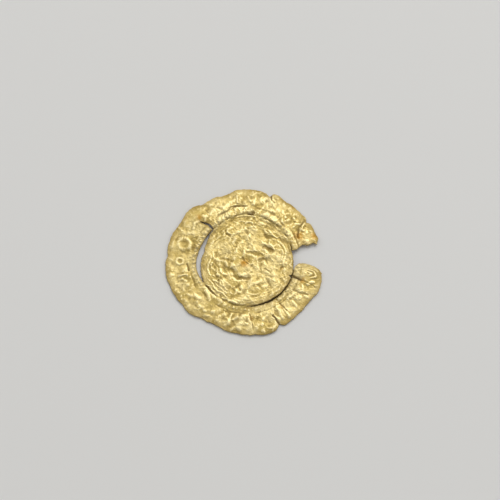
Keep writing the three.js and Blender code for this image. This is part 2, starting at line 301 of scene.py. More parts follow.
def field_edge(angle):
    """Radius of the field's edge: the band's inner edge less the gap."""
    return band_inner(angle) - open_width(angle)


print("widest gap", round(open_width(every_degree).max(), 2), "mm")


# %% Nearness to the joins
def to_join_end(angle):
    """Degrees to the nearest end of a join."""
    return np.min([np.abs(turn_from(end, angle)) for end in (*TOP_JOIN, *LOW_JOIN)], axis=0)


def looseness(angle):
    """How far apart in height the seam's two sides may be: 0 at the joins, 1 from LOOSE_TURN past them."""
    return np.where(is_joined(angle), 0, smooth(0, LOOSE_TURN, to_join_end(angle)))


def from_seam(angle, radius, apart):
    """Distance to the nearest place where field and band have parted: apart, the distance across the seam,
    where they have, and the distance to the end of the join where they haven't."""
    return np.hypot(apart, np.where(is_joined(angle), np.radians(to_join_end(angle)) * radius, 0))


print("mean looseness round the seam:", round(looseness(every_degree).mean(), 2))

# %% [markdown]
# ## The sheet's form
#
# The flan is a bent sheet. It lies on stretches of its outer rim, rises a little towards the beads at the
# top, and the field has lifted at the lower right where it has come away. The same rule gives the height of
# the underside for the solid and for this mesh. A finer crumple goes on top of it here.

# %% Bend of the sheet
BAND_RISE, RISE_ANGLE = 0.26, 95  # how far the band's inner edge rises, and where most
# Slow waves round the band: how many, turn in degrees, height. The outer edge has only a share of them.
BAND_WAVES = [(3, 20, 0.08), (5, 130, 0.06), (8, 0, 0.03)]
OUTER_WAVES = 0.4
END_LIFTS = [(15, 12, 0.12), (352, 10, 0.08)]  # the two broken ends
INNER_LIFTS = [(235, 25, 0.14)]  # the band's inner edge at the lower left
FIELD_LOW, FIELD_SLOPE, FIELD_BOWL = 0.1, 0.13, 0.08  # the field's height, slope and bowl towards FIELD_TURN
FIELD_TURN = -55
HINGE = (-0.45, 0.3)  # a join bends between these distances from the seam


def band_lift(angle, radius):
    """Height of the band's underside, never below the table: a rise of the inner edge, three slow waves round
    the band, and a lift at each broken end."""
    inwards = np.clip((FLAN_RADIUS - radius) / (FLAN_RADIUS - SEAM_RADIUS), 0, 1)
    top = 0.5 + 0.5 * np.cos(np.radians(angle - RISE_ANGLE))
    inner = inwards * (BAND_RISE * top + swell(angle, INNER_LIFTS))
    waves = sum(height * np.sin(np.radians(count * angle + turn)) for count, turn, height in BAND_WAVES)
    waves = waves * (OUTER_WAVES + (1 - OUTER_WAVES) * inwards)
    return np.maximum(0, inner + waves + swell(angle, END_LIFTS))


def field_lift(x, y):
    """Height of the field's underside: a bowl that rises towards the lower right."""
    across = (x * np.cos(np.radians(FIELD_TURN)) + y * np.sin(np.radians(FIELD_TURN))) / SEAM_RADIUS
    return FIELD_LOW + FIELD_SLOPE * across + FIELD_BOWL * across * across


def sheet_height(x, y, in_band):
    """Height of the underside. Across a join the field's height turns smoothly into the band's; beside a gap
    each side keeps its own."""
    angle, radius = to_polar(x, y)
    bent = smooth(*HINGE, radius - band_inner(angle))
    share = bent + (in_band - bent) * looseness(angle)
    return field_lift(x, y) * (1 - share) + band_lift(angle, radius) * share


print("underside of the field's middle, mm above the table:", field_lift(0, 0))

# %% [markdown]
# ## What the dies struck
#
# Each mark is a ridge or a hollow at some distance from a middle line: a point, a straight stroke, a ring or
# a wavy circle. So one small function, `ridge`, shapes them all, and the only work is to measure distances.
# The marks in the band are plain wedges and rings in a row. They stand where the worn inscription was and
# spell nothing.


# %% Ridges and distances
def ridge(distance, half_width, height):
    """A worn ridge or hollow with soft feet: height times (1 - (distance / reach) squared) squared, and 0
    beyond. The reach is a third more than the half width, where a fifth of the height is left."""
    return height * np.maximum(0, 1 - (distance / (1.33 * half_width)) ** 2) ** 2


def to_stroke(x, y, start, end):
    """Distance from each point to the straight line between start and end."""
    (x0, y0), (x1, y1) = start, end
    dx, dy = x1 - x0, y1 - y0
    share = np.clip(((x - x0) * dx + (y - y0) * dy) / (dx * dx + dy * dy), 0, 1)
    return np.hypot(x - x0 - share * dx, y - y0 - share * dy)


def to_path(x, y, points):
    """Distance to a line of several strokes."""
    return np.min([to_stroke(x, y, a, b) for a, b in zip(points, points[1:])], axis=0)


def highest(x, y, lines):
    """The highest ridge at each point, of lines that are each points, then half width and height."""
    return np.max([ridge(to_path(x, y, points), half, height) for points, half, height in lines], axis=0)


print("left of a ridge at its half width:", round(float(ridge(1.0, 1.0, 1.0)), 2))

# %% Beads
BEAD_COUNT, BEAD_HALF, BEAD_HEIGHT = 80, 0.18, 0.17
BEAD_OFFSET = 0.36  # from the seam to the beads' middles
BEAD_SHIFT = 1.6  # how far beads stray along the ring, in degrees
BEAD_FOOT = (0.2, 0.25)  # the ridge they stand on: half width, share of the beads' height
# Where the beads still stand clear: angle, half width of the stretch, how much.
CLEAR_BEADS = [
    (45, 20, 0.8), (117, 10, 0.7), (172, 32, 0.9), (254, 3, 0.9), (268, 3, 0.9), (325, 15, 0.4),
]


def beads(angle, radius):
    """A ring of round lumps on a low ridge, each measured from its own middle and with its own wear."""
    bead_turn = 360 / BEAD_COUNT
    shifted = angle + BEAD_SHIFT * wander(angle, 7, 6, 0.5)
    number = np.floor(shifted / bead_turn).astype(np.int64)
    along_ring = np.radians(shifted - (number + 0.5) * bead_turn) * radius
    uneven = 0.12 * wander(angle, 6, 4, 2.5) + 0.08 * (dice(number, 1, 5) - 0.5)
    across_ring = radius - band_inner(angle) - BEAD_OFFSET - uneven
    wear = np.clip(0.15 + swell(angle, CLEAR_BEADS), 0, 1) * (0.45 + 0.65 * dice(number, 0, 5))
    lump = ridge(np.hypot(along_ring, across_ring), BEAD_HALF, BEAD_HEIGHT)
    return wear * np.maximum(lump, ridge(across_ring, BEAD_FOOT[0], BEAD_FOOT[1] * BEAD_HEIGHT))


print("beads:", BEAD_COUNT, "at", round(2 * np.pi * (SEAM_RADIUS + BEAD_OFFSET) / BEAD_COUNT, 2), "mm steps")

# %% Lines round the beads
# The line inside the beads: where it is deeper or shallower, and the least and most depth.
INNER_DEPTH, INNER_DEPTH_SWELLS = 0.045, [(86, 4, 0.1), (217, 6, 0.1), (247, 14, -0.035)]
INNER_LIMITS = (0.005, 0.2)
# The line outside them: from the seam, where it strays, its depth, and the stretch where it is worn away.
OUTER_OFFSET, OUTER_SWELLS = 0.93, [(98, 9, 0.34), (186, 18, -0.1), (48, 5, -0.3)]
OUTER_DEPTH, OUTER_LIMITS = 0.03, (0.0, 0.08)
OUTER_LOST = [(182, 26, 0.8)]


def bead_lines(angle, radius):
    """A cut line just inside the beads, where the coin has worked loose, and a fainter one outside them."""
    inner_depth = INNER_DEPTH + 0.12 * wander(angle, 6, 11, 7.5) + swell(angle, INNER_DEPTH_SWELLS)
    inner = ridge(radius - band_inner(angle) + 0.02, 0.13, np.clip(inner_depth, *INNER_LIMITS))
    outer_radius = band_inner(angle) + OUTER_OFFSET + swell(angle, OUTER_SWELLS) + 0.12 * wander(angle, 8, 12)
    outer_depth = np.clip(OUTER_DEPTH + 0.08 * wander(angle, 10, 13, 3.5), *OUTER_LIMITS)
    outer = ridge(radius - outer_radius, 0.12, outer_depth * (1 - swell(angle, OUTER_LOST)))
    return -inner - outer


print("deepest bead line, mm:", round(-bead_lines(every_degree, band_inner(every_degree) - 0.02).min(), 3))

# %% Marks in the band
# The marks that still stand clear: start angle, start radius, end angle, end radius, half width, height.
CLEAR_MARKS = [
    (217, 6.5, 228.5, 7.05, 0.22, 0.13), (98.5, 8.1, 98.5, 9, 0.15, 0.11),
    (267, 7.35, 263.5, 8.9, 0.45, 0.11), (254.5, 7.6, 254.8, 8.6, 0.2, 0.1),
    (317, 7.1, 321, 7.25, 0.26, 0.12), (306, 8.3, 306, 9.1, 0.2, 0.11), (301.5, 7.2, 300.5, 8.8, 0.26, 0.1),
    (327, 8.6, 327.5, 9.1, 0.24, 0.11), (71, 6.6, 68, 6.85, 0.3, 0.1), (37, 6.5, 31, 6.6, 0.36, 0.1),
    (194, 7.8, 192.5, 8.9, 0.18, 0.08), (113, 7.6, 115, 8.3, 0.2, 0.08),
]
BLURRED_MARKS = 46
ROW_FROM, ROW_TO = 18, 346  # the row of blurred marks starts and ends beside the bite
RINGS_AT, RINGS_HALF = 171, 16  # the stretch that the two clear rings keep free of blurred marks
chance = np.random.default_rng(12)


def blurred_marks():
    """The worn rest of the row: short strokes of mixed lean and length at even steps, with no repeat."""
    numbers = np.arange(BLURRED_MARKS) + chance.uniform(-0.3, 0.3, BLURRED_MARKS)
    steps = ROW_FROM + (ROW_TO - ROW_FROM) * numbers / BLURRED_MARKS
    middles = chance.uniform(7.7, 8.6, BLURRED_MARKS)
    leans = np.radians(chance.uniform(-75, 75, BLURRED_MARKS))
    lengths = chance.uniform(0.15, 0.5, BLURRED_MARKS)
    turn, out = np.degrees(lengths * np.sin(leans) / middles), lengths * np.cos(leans)
    widths, heights = chance.uniform(0.16, 0.32, BLURRED_MARKS), chance.uniform(0.04, 0.09, BLURRED_MARKS)
    return list(zip(steps - turn, middles - out, steps + turn, middles + out, widths, heights))


STROKES = CLEAR_MARKS + [mark for mark in blurred_marks() if abs(mark[0] - RINGS_AT) > RINGS_HALF]
# Ring marks: angle and radius of the middle, the ring's radius along and across the band, half width, height.
RING_MARKS = [
    (164, 8.35, 0.7, 0.78, 0.32, 0.07), (180, 8.55, 0.4, 0.42, 0.19, 0.085),
    (47, 7.65, 0.72, 0.82, 0.2, 0.05),
]
STROKE_SPREAD = 1.15  # worn strokes are this much wider than they were cut
print("marks in the band:", len(STROKES), "strokes and", len(RING_MARKS), "rings")


# %% Relief of the marks
def ring_mark(angle, radius, at_angle, at_radius, along_band, across_band, half_width, height):
    """A round or oval ring: the ridge is measured from the curve where the scaled distance is 1."""
    side = np.radians(turn_from(at_angle, angle)) * at_radius
    scaled = np.hypot(side / along_band, (radius - at_radius) / across_band)
    return ridge((scaled - 1) * min(along_band, across_band), half_width, height)


def band_marks(angle, radius):
    """The row of marks: the highest of all strokes and rings at each point."""
    x, y = polar(angle, radius)
    x = x + 0.16 * cloud(x, y, 0.7, 45)
    y = y + 0.16 * cloud(x, y, 0.7, 46)
    heights = [np.zeros_like(x)]
    for start_angle, start_radius, end_angle, end_radius, half_width, height in STROKES:
        distance = to_stroke(x, y, polar(start_angle, start_radius), polar(end_angle, end_radius))
        heights.append(ridge(distance, STROKE_SPREAD * half_width, height))
    heights += [ring_mark(angle, radius, *mark) for mark in RING_MARKS]
    return np.max(heights, axis=0)


print("a mark near the top stands", round(float(band_marks(np.array([98.5]), np.array([8.5]))[0]), 3), "mm")

# %% Nested folds on the lower broken end
END_AT, END_RADIUS = 347.5, 8.2  # the middle of the broken end
END_FOLDS_RADIUS = 7.7  # where the folds' own middle lies
END_FOLDS_REACH = (0.75, 1.7)  # along and across the band, in mm
END_FOLDS_HEIGHT, END_FOLDS_STEP = 0.05, 0.36  # the step is a share of the reach


def end_folds(angle, radius):
    """Nested folds, like a fingerprint: a cosine of the scaled distance from their middle. They fade outwards
    and towards the beads."""
    side = np.radians(turn_from(END_AT, angle)) * END_RADIUS
    scaled = np.hypot(side / END_FOLDS_REACH[0], (radius - END_FOLDS_RADIUS) / END_FOLDS_REACH[1])
    scaled = scaled + 0.16 * cloud(side, radius, 0.6, 47)
    faint = np.clip(0.6 + 1.5 * cloud(side, radius, 0.8, 48), 0, 1)
    fade = (1 - smooth(0.75, 1.15, scaled)) * smooth(7.3, 7.8, radius)
    return END_FOLDS_HEIGHT * faint * np.cos(2 * np.pi * scaled / END_FOLDS_STEP) * fade


sample = end_folds(END_AT + 0 * every_degree, np.linspace(7, 9.5, len(every_degree)))
print("folds across the broken end, mm:", round(sample.min(), 3), "to", round(sample.max(), 3))

# %% The field's device
# A cross with forked ends in a border of eight arcs, each with a pellet, worn and crushed nearly flat.
LOBE_COUNT = 8
TRESSURE_RADIUS, TRESSURE_LOBE = 4.55, 0.55
TRESSURE_LINES = [(0, 0.16, 0.055), (0.42, 0.14, 0.045)]  # inwards from the border, half width, height
PELLET_RADIUS, PELLET_HALF, PELLET_HEIGHT = 4.05, 0.3, 0.06
CROSS_TURN, CROSS_REACH = 18.0, 3.2
CROSS_HALF, CROSS_HEIGHT = 0.4, 0.07
FORK_BACK, FORK_SIDE, FORK_HALF, FORK_HEIGHT = 0.2, 0.8, 0.35, 0.08


def arm_place(angle, radius, turn):
    """The place in the nearest arm's own frame: x out along the arm, y to its side."""
    return polar((angle - turn + 45) % 90 - 45, radius)


def field_device(x, y):
    """The highest of the border's two lines, its pellets, and the cross's arms with their forks."""
    angle, radius = to_polar(x, y)
    lobe_turn = 360 / LOBE_COUNT
    from_lobe = (angle - CROSS_TURN + lobe_turn / 2) % lobe_turn - lobe_turn / 2
    border = TRESSURE_RADIUS + TRESSURE_LOBE * np.cos(np.radians(from_lobe * 180 / lobe_turn))
    to_pellet = np.hypot(np.radians(from_lobe) * PELLET_RADIUS, radius - PELLET_RADIUS)
    arm_x, arm_y = arm_place(angle, radius, CROSS_TURN)
    arm_end = (CROSS_REACH, 0)
    to_arm = to_stroke(arm_x, np.abs(arm_y), (1, 0), arm_end)
    to_fork = to_stroke(arm_x, np.abs(arm_y), arm_end, (CROSS_REACH - FORK_BACK, FORK_SIDE))
    heights = [ridge(radius - border + inwards, half, height) for inwards, half, height in TRESSURE_LINES]
    heights.append(ridge(to_pellet, PELLET_HALF, PELLET_HEIGHT))
    heights.append(ridge(to_arm, CROSS_HALF, CROSS_HEIGHT))
    heights.append(ridge(to_fork, FORK_HALF, FORK_HEIGHT))
    return np.max(heights, axis=0)


print("the cross reaches", CROSS_REACH, "mm and its border", TRESSURE_RADIUS + TRESSURE_LOBE, "mm")

# %% [markdown]
# ## Damage
#
# Dents, folds and hollows are what set this coin apart from any other, so each large one is listed on its
# own. A dent is a line with a half width and a depth. Shallow wide ones catch the light as soft shade, and
# narrow deep ones read as dark lines.

# %% Folds across the band
# Points as (angle, radius), then half width and depth.
FOLDS = [
    ([(341, 6), (340, 6.7), (339.4, 7.3)], 0.15, 0.15),
    ([(339.4, 7.3), (339.2, 8.2), (337.5, 9.5)], 0.1, 0.06),
    ([(329.5, 8.9), (327, 7.9), (327, 6.9)], 0.14, 0.05),
    ([(307.5, 8.3), (306, 7.2), (305.5, 6.3)], 0.11, 0.06),
    ([(296, 9.6), (295.2, 8.6), (294, 7.9)], 0.13, 0.13),
    ([(275.5, 9.4), (274.5, 8.2), (272.5, 7.1)], 0.11, 0.06),
    ([(71, 9.5), (69, 8.9), (66.5, 8.75)], 0.13, 0.11),
    ([(37, 9.2), (34, 8.1), (31, 7.6), (26, 7.2)], 0.16, 0.09),
    ([(121, 7.2), (113, 7.25), (104, 7.7), (98, 7.62), (90, 7.6)], 0.12, 0.07),
    ([(94, 6.5), (88, 6.55), (83, 6.65)], 0.26, 0.12), ([(116, 7.15), (111, 7.3)], 0.22, 0.08),
    ([(80, 7.35), (70, 7.35), (60, 7.2), (54, 7.15)], 0.12, 0.05), ([(224, 5.95), (216, 5.9)], 0.2, 0.14),
    ([(318, 6.85), (305, 6.8)], 0.16, 0.07), ([(160, 8.72), (156.5, 8.75)], 0.08, 0.07),
    ([(160, 8.42), (156.5, 8.5)], 0.08, 0.07), ([(190, 7.5), (183, 7.6)], 0.14, 0.08),
    ([(208, 7.35), (194, 7.3)], 0.12, 0.05), ([(252, 7.3), (246, 7.2)], 0.12, 0.06),
]
FOLD_LINES = [([polar(*point) for point in points], half, depth) for points, half, depth in FOLDS]


def band_damage(angle, radius):
    """Folds across the band: the deepest at each point, below zero. Slow noise bends them and varies their
    depth."""
    x, y = polar(angle, radius)
    x, y = x + 0.12 * cloud(x, y, 0.6, 91), y + 0.12 * cloud(x, y, 0.6, 92)
    worn = np.clip(0.85 + 1.1 * cloud(x, y, 0.9, 93), 0.3, 1.2)
    return -worn * highest(x, y, FOLD_LINES)


print("folds across the band:", len(FOLDS))

# %% Dents and raised places in the field
# Dents: points as (x, y), then half width and depth.
DENTS = [
    ([(2.35, 1.9), (2.7, 1.7), (3.15, 1.25)], 0.3, 0.16),
    ([(-1.9, -1.3), (-1.4, -1.9), (-0.8, -2.3)], 0.3, 0.12),
    ([(-1.2, -2.35), (-0.6, -2.2), (0.1, -2.4)], 0.24, 0.13),
    ([(-0.7, 0.4), (-0.35, -0.3), (0.5, -0.6)], 0.18, 0.09), ([(0, 1.2), (1.1, 1)], 0.28, 0.08),
    ([(1.5, -0.1), (2.1, 0.3), (2.5, -0.1)], 0.2, 0.08), ([(2.4, 3.3), (3.1, 3.2)], 0.3, 0.08),
    ([(-0.8, 3.7), (-0.2, 3.9)], 0.35, 0.07), ([(-3.1, 0.2), (-2, 0)], 0.35, 0.07),
    ([(-4.6, -0.7), (-4.1, -0.8)], 0.25, 0.08), ([(4.1, -1.2), (4.7, -1)], 0.22, 0.06),
    ([(-1.2, -3.4), (-0.9, -3.9)], 0.3, 0.07), ([(0.4, -5), (1, -4.8)], 0.25, 0.08),
    ([(-3.6, -2.6), (-3.5, -3)], 0.15, 0.1), ([(-2.7, 4.1), (-2.6, 3.6), (-2.3, 3.4)], 0.14, 0.08),
    ([(2.4, -1.2), (3, -1.5)], 0.15, 0.08), ([(4.3, -2.6), (4.9, -2.9)], 0.4, 0.07),
    ([(-3.4, -4.9), (-2.7, -5.6)], 0.2, 0.12), ([(4.3, 2.9), (5, 2.5)], 0.3, 0.07),
    ([(0.5, 5.6), (0.9, 5.8)], 0.2, 0.06),
]
# Raised lines, most of them along the border: points as (x, y), then half width and height.
RAISED_LINES = [
    ([polar(a, 5.4) for a in (207, 218, 230, 243)], 0.13, 0.06),
    ([polar(a, 5.02) for a in (211, 220, 231, 240)], 0.12, 0.05),
    ([polar(a, 4.6) for a in (218, 226, 236)], 0.13, 0.05),
    ([(-0.3, 5.3), (0.5, 5.2), (1.05, 4.5)], 0.16, 0.06),
    ([polar(a, 5.75) for a in (180, 190, 200)], 0.14, 0.04),
    ([polar(a, 5.65) for a in (352, 0, 10)], 0.16, 0.05), ([(3.3, 3.6), (3.75, 3)], 0.16, 0.06),
]
# Cuts round two lobes of the border: middle and radius. Then their half width and depth.
ROUND_CUTS = [((-2, 4), 0.75), ((1.9, 5), 0.62)]
ROUND_HALF, ROUND_DEPTH = 0.14, 0.04
# Smooth raised places: middle, half widths along X and Y, height.
BULGES = [
    ((4.55, 0.1), (0.75, 1.25), 0.09), ((2.75, 0.75), (0.75, 0.3), 0.1), ((-2, 4), (0.8, 0.75), 0.07),
    ((1.9, 5), (0.65, 0.7), 0.07), ((-3.1, -2.9), (0.6, 0.6), 0.09), ((-0.45, -1.9), (0.4, 0.3), 0.08),
    ((3, 3.9), (0.55, 0.4), 0.07), ((-1.6, -5.4), (0.9, 0.3), 0.06), ((-0.4, -5.2), (0.5, 0.6), 0.05),
]
print("dents in the field:", len(DENTS), "raised places:", len(RAISED_LINES) + len(BULGES))


# %% Relief of the damaged field
def field_damage(x, y):
    """Dents and cuts below zero, raised lines and bulges above it. A bulge is a bell curve over an oval."""
    warp_x, warp_y = (0.4 * rough(x * 1.2, y * 1.2, seed, 0.3) for seed in (61, 64))
    bent_x, bent_y = x + warp_x, y + warp_y
    raised = sum(h * bell(np.hypot((x - x0) / a, (y - y0) / b), 1) for (x0, y0), (a, b), h in BULGES)
    raised = raised + highest(bent_x, bent_y, RAISED_LINES)
    to_cuts = [np.hypot(bent_x - x0, bent_y - y0) - reach for (x0, y0), reach in ROUND_CUTS]
    cut = np.max([ridge(distance, ROUND_HALF, ROUND_DEPTH) for distance in to_cuts], axis=0)
    cut = cut * np.clip(0.5 + 1.8 * cloud(x, y, 0.8, 67), 0, 1)
    return raised - np.maximum(highest(bent_x, bent_y, DENTS), cut)


sample = field_damage(*np.meshgrid(np.linspace(-4, 4, 60), np.linspace(-4, 4, 60)))
print("damage of the field, mm:", round(sample.min(), 3), "to", round(sample.max(), 3))

# %% [markdown]
# ## Grain
#
# Over all of it goes the crumple, at three sizes. It is drawn out in the way the gold flowed under the die,
# and it calms down round the marks that should still be read.

# %% Grain of the band
BAND_CRUMPLE = [(1, 1.2, 1.25, 21, 0.15), (1, 1.3, 0.6, 23, 0.07), (1, 1.2, 0.3, 25, 0.036)]
BAND_MIDDLE = 8  # radius at which a degree along the band is measured in mm
# Calm places: angle and radius of the middle, half width. They keep CALM_LEFT of the grain in the middle.
CALM_PLACES = [(164, 8.35, 1.15), (180, 8.55, 0.75), (END_AT, END_RADIUS, 1.1)]
CALM_LEFT = 0.4
CALM_STRETCHES = [(212, 45, 0.35)]


def calm_near_marks(angle, radius):
    """How much of the grain stays: less on the clear rings and on the folded broken end."""
    x, y = polar(angle, radius)
    near = [bell(np.hypot(x - polar(a, r)[0], y - polar(a, r)[1]), reach) for a, r, reach in CALM_PLACES]
    return 1 - (1 - CALM_LEFT) * np.max(near, axis=0)


def band_grain(angle, radius):
    """Crumple, longer across the band than along it, because the gold flowed outwards under the die."""
    side = np.radians(angle) * BAND_MIDDLE
    busy = (1 - swell(angle, CALM_STRETCHES)) * np.clip(0.95 + 0.9 * cloud(side, radius, 2.6, 27), 0.5, 1.3)
    return layered(side, radius, BAND_CRUMPLE) * busy * calm_near_marks(angle, radius)


sample = band_grain(every_degree, BAND_MIDDLE + 0 * every_degree)
print("grain along the band's middle, mm:", round(sample.min(), 3), "to", round(sample.max(), 3))

# %% Grain of the field
FIELD_CRUMPLE = [(1.3, 1, 1.3, 31, 0.175), (1.35, 1, 0.62, 33, 0.085)]  # along and across the smear
FINE_CRUMPLE = [(1, 1, 0.3, 35, 0.034)]
EDGE_CRUMPLE = [(2.5, 1, 0.4, 36, 0.08)]  # round the field's edge and across it
EDGE_MIDDLE = 5.2  # radius at which a turn round the field's edge is measured in mm
EDGE_CALM = 0.35  # the part of the smeared crumple that the field's edge loses


def field_grain(x, y):
    """Crumple: drawn out from upper left to lower right, and round the field near its edge."""
    along_smear, across_smear = (x - y) / np.sqrt(2), (x + y) / np.sqrt(2)
    angle, radius = np.arctan2(y, x), np.hypot(x, y)
    outer = smooth(4.1, 5, radius)
    smeared = layered(along_smear, across_smear, FIELD_CRUMPLE) * (1 - EDGE_CALM * outer)
    round_edge = layered(angle * EDGE_MIDDLE, radius, EDGE_CRUMPLE) * outer
    busy = np.clip(1 + 0.8 * cloud(x, y, 2.2, 38), 0.7, 1.3)
    return busy * (smeared + layered(x, y, FINE_CRUMPLE) + round_edge)


sample = field_grain(every_degree / 60, 0 * every_degree)
print("grain from the field's middle to its edge, mm:", round(sample.min(), 3), "to", round(sample.max(), 3))


# %% Relief of both faces
def top_relief(x, y):
    """Height of the struck face above the plain sheet: device and marks, damage, then grain. Noise wears the
    marks away in places. The field's part fades into the band's across the seam."""
    angle, radius = to_polar(x, y)
    wear = 0.8 + 0.8 * cloud(x, y, 2.2, 41)
    band = np.maximum(wear * band_marks(angle, radius), beads(angle, radius)) + end_folds(angle, radius)
    band = band + band_damage(angle, radius) + bead_lines(angle, radius) + band_grain(angle, radius)
    device_wear = np.clip(0.3 + 1.5 * cloud(x, y, 1.9, 42), 0, 1)
    field = device_wear * field_device(x, y) + field_damage(x, y) + field_grain(x, y)
    field = field + bead_lines(angle, radius)
    share = smooth(-0.25, 0.1, radius - band_inner(angle))
    return field * (1 - share) + band * share


UNDER_BEADS, UNDER_BEAD_RADIUS, UNDER_CIRCLE = 64, 6.9, 5.2
UNDER_CROSS_TURN, UNDER_ARM = 30, ((0.8, 0), (4.2, 0))


def under_relief(x, y):
    """The plainer underside: a faint ring of beads, a circle, a cross and soft lumps, standing down."""
    angle, radius = to_polar(x, y)
    lump = np.clip(np.cos(np.radians(UNDER_BEADS * angle)), 0, 1)
    beaded = lump * ridge(radius - UNDER_BEAD_RADIUS, 0.3, 0.05)
    cross = ridge(to_stroke(*arm_place(angle, radius, UNDER_CROSS_TURN), *UNDER_ARM), 0.4, 0.05)
    raised = np.max([beaded, ridge(radius - UNDER_CIRCLE, 0.2, 0.04), cross], axis=0)
    return raised + 0.05 * crumpled(x, y, 1.4, 71)


print("beads on the underside:", UNDER_BEADS)

# %% [markdown]
# ## A lattice of spokes and rings
#
# The coin is round, so its mesh is a grid of spokes and rings: one grid for the field and three for the band,
# cut where the tears run. The grids are sewn together by giving the same vertex number to places that
# coincide, so a join is whole gold and a gap is a real gap. The other way, cutting slots out of a disc with
# booleans, leaves long thin faces that shade badly.

# %% Places on the lattice
SPOKES = 800
SPOKE_TURN = 360 / SPOKES
BAND_SHARES = np.concatenate([
    [0, 0.006, 0.016, 0.03, 0.045], np.linspace(0.062, SPLIT_REACH, 10),
    np.linspace(SPLIT_REACH, TEAR_REACH, 13)[1:], np.linspace(TEAR_REACH, 0.957, 21)[1:],
    [0.972, 0.984, 0.993, 1],
])
FIELD_GROUPS = [  # each group has half as many spokes as the one outside it
    [1, 0.996, 0.989, 0.98, *np.linspace(0.97, 0.73, 21)], [*np.linspace(0.719, 0.34, 35)],
    [*np.linspace(0.328, 0.12, 19)], [*np.linspace(0.1, 0.03, 5)],
]
# Parts of the band: from, to, and which way the tear and the split push each one.
BAND_PARTS = {
    "top": (BITE_TO, TEAR_ANGLE, -1, -1), "side": (TEAR_ANGLE, SPLIT_ANGLE, 1, -1),
    "tongue": (SPLIT_ANGLE, BITE_FROM, 1, 1),
}


def field_place(angle, share):
    """A place on the field: a share of the way from the middle to the field's edge."""
    return polar(angle, share * field_edge(angle))


def fade(distance, reach):
    """1 at no distance, and 0 from the reach on."""
    return 1 - smooth(0, reach, np.abs(distance))


def band_place(angle, share, part):
    """A place on the band. The angle is bent to follow the breaks and tears, most at each one and fading to
    its sides; the radius goes from the inner edge to the outer; and the two sides of a tear stand apart."""
    turned = angle
    for line, at, reach in BENDS:
        turned = turned + along(line, share) * fade(angle - at, reach)
    radius = band_inner(turned) * (1 - share) + flan_edge(turned) * share
    pushes = zip(BAND_PARTS[part][2:], PARTINGS)
    apart = sum(way * along(half, share) * fade(angle - at, reach) for way, (half, at, reach) in pushes)
    return polar(turned + np.degrees(apart / radius), radius)


print("rows of the band:", len(BAND_SHARES), "rings of the field:", sum(map(len, FIELD_GROUPS)))


# %% Sewing the grids together
def strip(inner, outer):
    """Triangles between two rows of vertex numbers that run anticlockwise. The inner row may have half the
    steps: then each inner step meets two outer ones with three triangles."""
    if len(inner) == len(outer):
        a, b, c, d = inner[:-1], inner[1:], outer[:-1], outer[1:]
        return np.concatenate([np.stack([a, c, d], 1), np.stack([a, d, b], 1)])
    a, b, c, m, d = inner[:-1], inner[1:], outer[:-2:2], outer[1:-1:2], outer[2::2]
    return np.concatenate([np.stack([a, c, m], 1), np.stack([a, m, b], 1), np.stack([b, m, d], 1)])


def sewn(field_groups, middle, band_parts, step):
    """Triangles over every step-th row and spoke: the field's rings, a fan at its middle, the band."""
    rings = [row[::step] for group in field_groups for row in group[::step]]
    rings = [np.append(ring, ring[0]) for ring in rings]
    faces = [strip(inner, outer) for outer, inner in zip(rings, rings[1:])]
    faces.append(np.stack([np.full(len(rings[-1]) - 1, middle), rings[-1][:-1], rings[-1][1:]], 1))
    for rows in band_parts:
        arcs = [row[::step] for row in rows[::step]]
        faces += [strip(inner, outer) for inner, outer in zip(arcs, arcs[1:])]
    return np.concatenate(faces)


print("a strip of 2 inner and 4 outer steps:", len(strip(np.arange(3), np.arange(5))), "triangles")


# %% Rows of the field
class Plan:
    """Rows of places: x, y, 0 in the field or 1 in the band, and the distance to the nearest free edge."""

    def __init__(self):
        """No rows and no places yet."""
        self.rows, self.count = [], 0

    def add(self, place, side, to_edge):
        """Adds a row of places and gives back their vertex numbers."""
        numbers = np.arange(self.count, self.count + len(to_edge))
        self.rows.append(np.stack([*place, np.full(len(to_edge), float(side)), to_edge]))
        self.count += len(to_edge)
        return numbers


def add_field(plan):
    """Adds the field's rings, from its edge inwards, and gives back their vertex numbers in groups."""
    groups = []
    for halvings, group in enumerate(FIELD_GROUPS):
        angle = np.arange(SPOKES)[:: 2**halvings] * SPOKE_TURN
        edge = field_edge(angle)
        groups.append([
            plan.add(field_place(angle, share), 0, from_seam(angle, share * edge, (1 - share) * edge))
            for share in group
        ])
    return groups


plan = Plan()
field_groups = add_field(plan)
middle = plan.add((np.zeros(1), np.zeros(1)), 0, np.full(1, 9.0))[0]
print("places on the field:", plan.count)


# %% Rows of the band
def to_free_edge(angle, share):
    """Distance from a place on the band to the nearest free edge: rim, seam, tear, split or bite."""
    width = flan_edge(angle) - band_inner(angle)
    radius = band_inner(angle) + share * width
    to_tears = [
        np.hypot(np.radians(angle - at) * radius, max(0, share - reach) * width)
        for at, reach in ((TEAR_ANGLE, TEAR_REACH), (SPLIT_ANGLE, SPLIT_REACH))
    ]
    to_bite = np.radians(np.minimum(np.abs(angle - BITE_TO), np.abs(angle - BITE_FROM))) * radius
    return np.min([(1 - share) * width, from_seam(angle, radius, share * width), *to_tears, to_bite], axis=0)


def add_band(plan, rim):
    """Adds the band's three parts. A place on a join takes the field's vertex number from its rim, and beyond
    the end of a tear a part takes the last column of the part before it."""
    parts, last_column = [], None
    for part, (start, end, *_) in BAND_PARTS.items():
        angle = np.arange(round(start / SPOKE_TURN), round(end / SPOKE_TURN) + 1) * SPOKE_TURN
        reach = TEAR_REACH if part == "side" else SPLIT_REACH
        rows = []
        for share in BAND_SHARES:
            row = plan.add(band_place(angle, share, part), 1, to_free_edge(angle, share))
            if share == 0:
                whole = is_joined(angle) & ~((angle == TEAR_ANGLE) & (part == "side"))
                row = np.where(whole, rim[np.round(angle / SPOKE_TURN).astype(int) % SPOKES], row)
            if last_column is not None and share >= reach:
                row[0] = last_column[len(rows)]
            rows.append(row)
        last_column = [row[-1] for row in rows]
        parts.append(rows)
    return parts


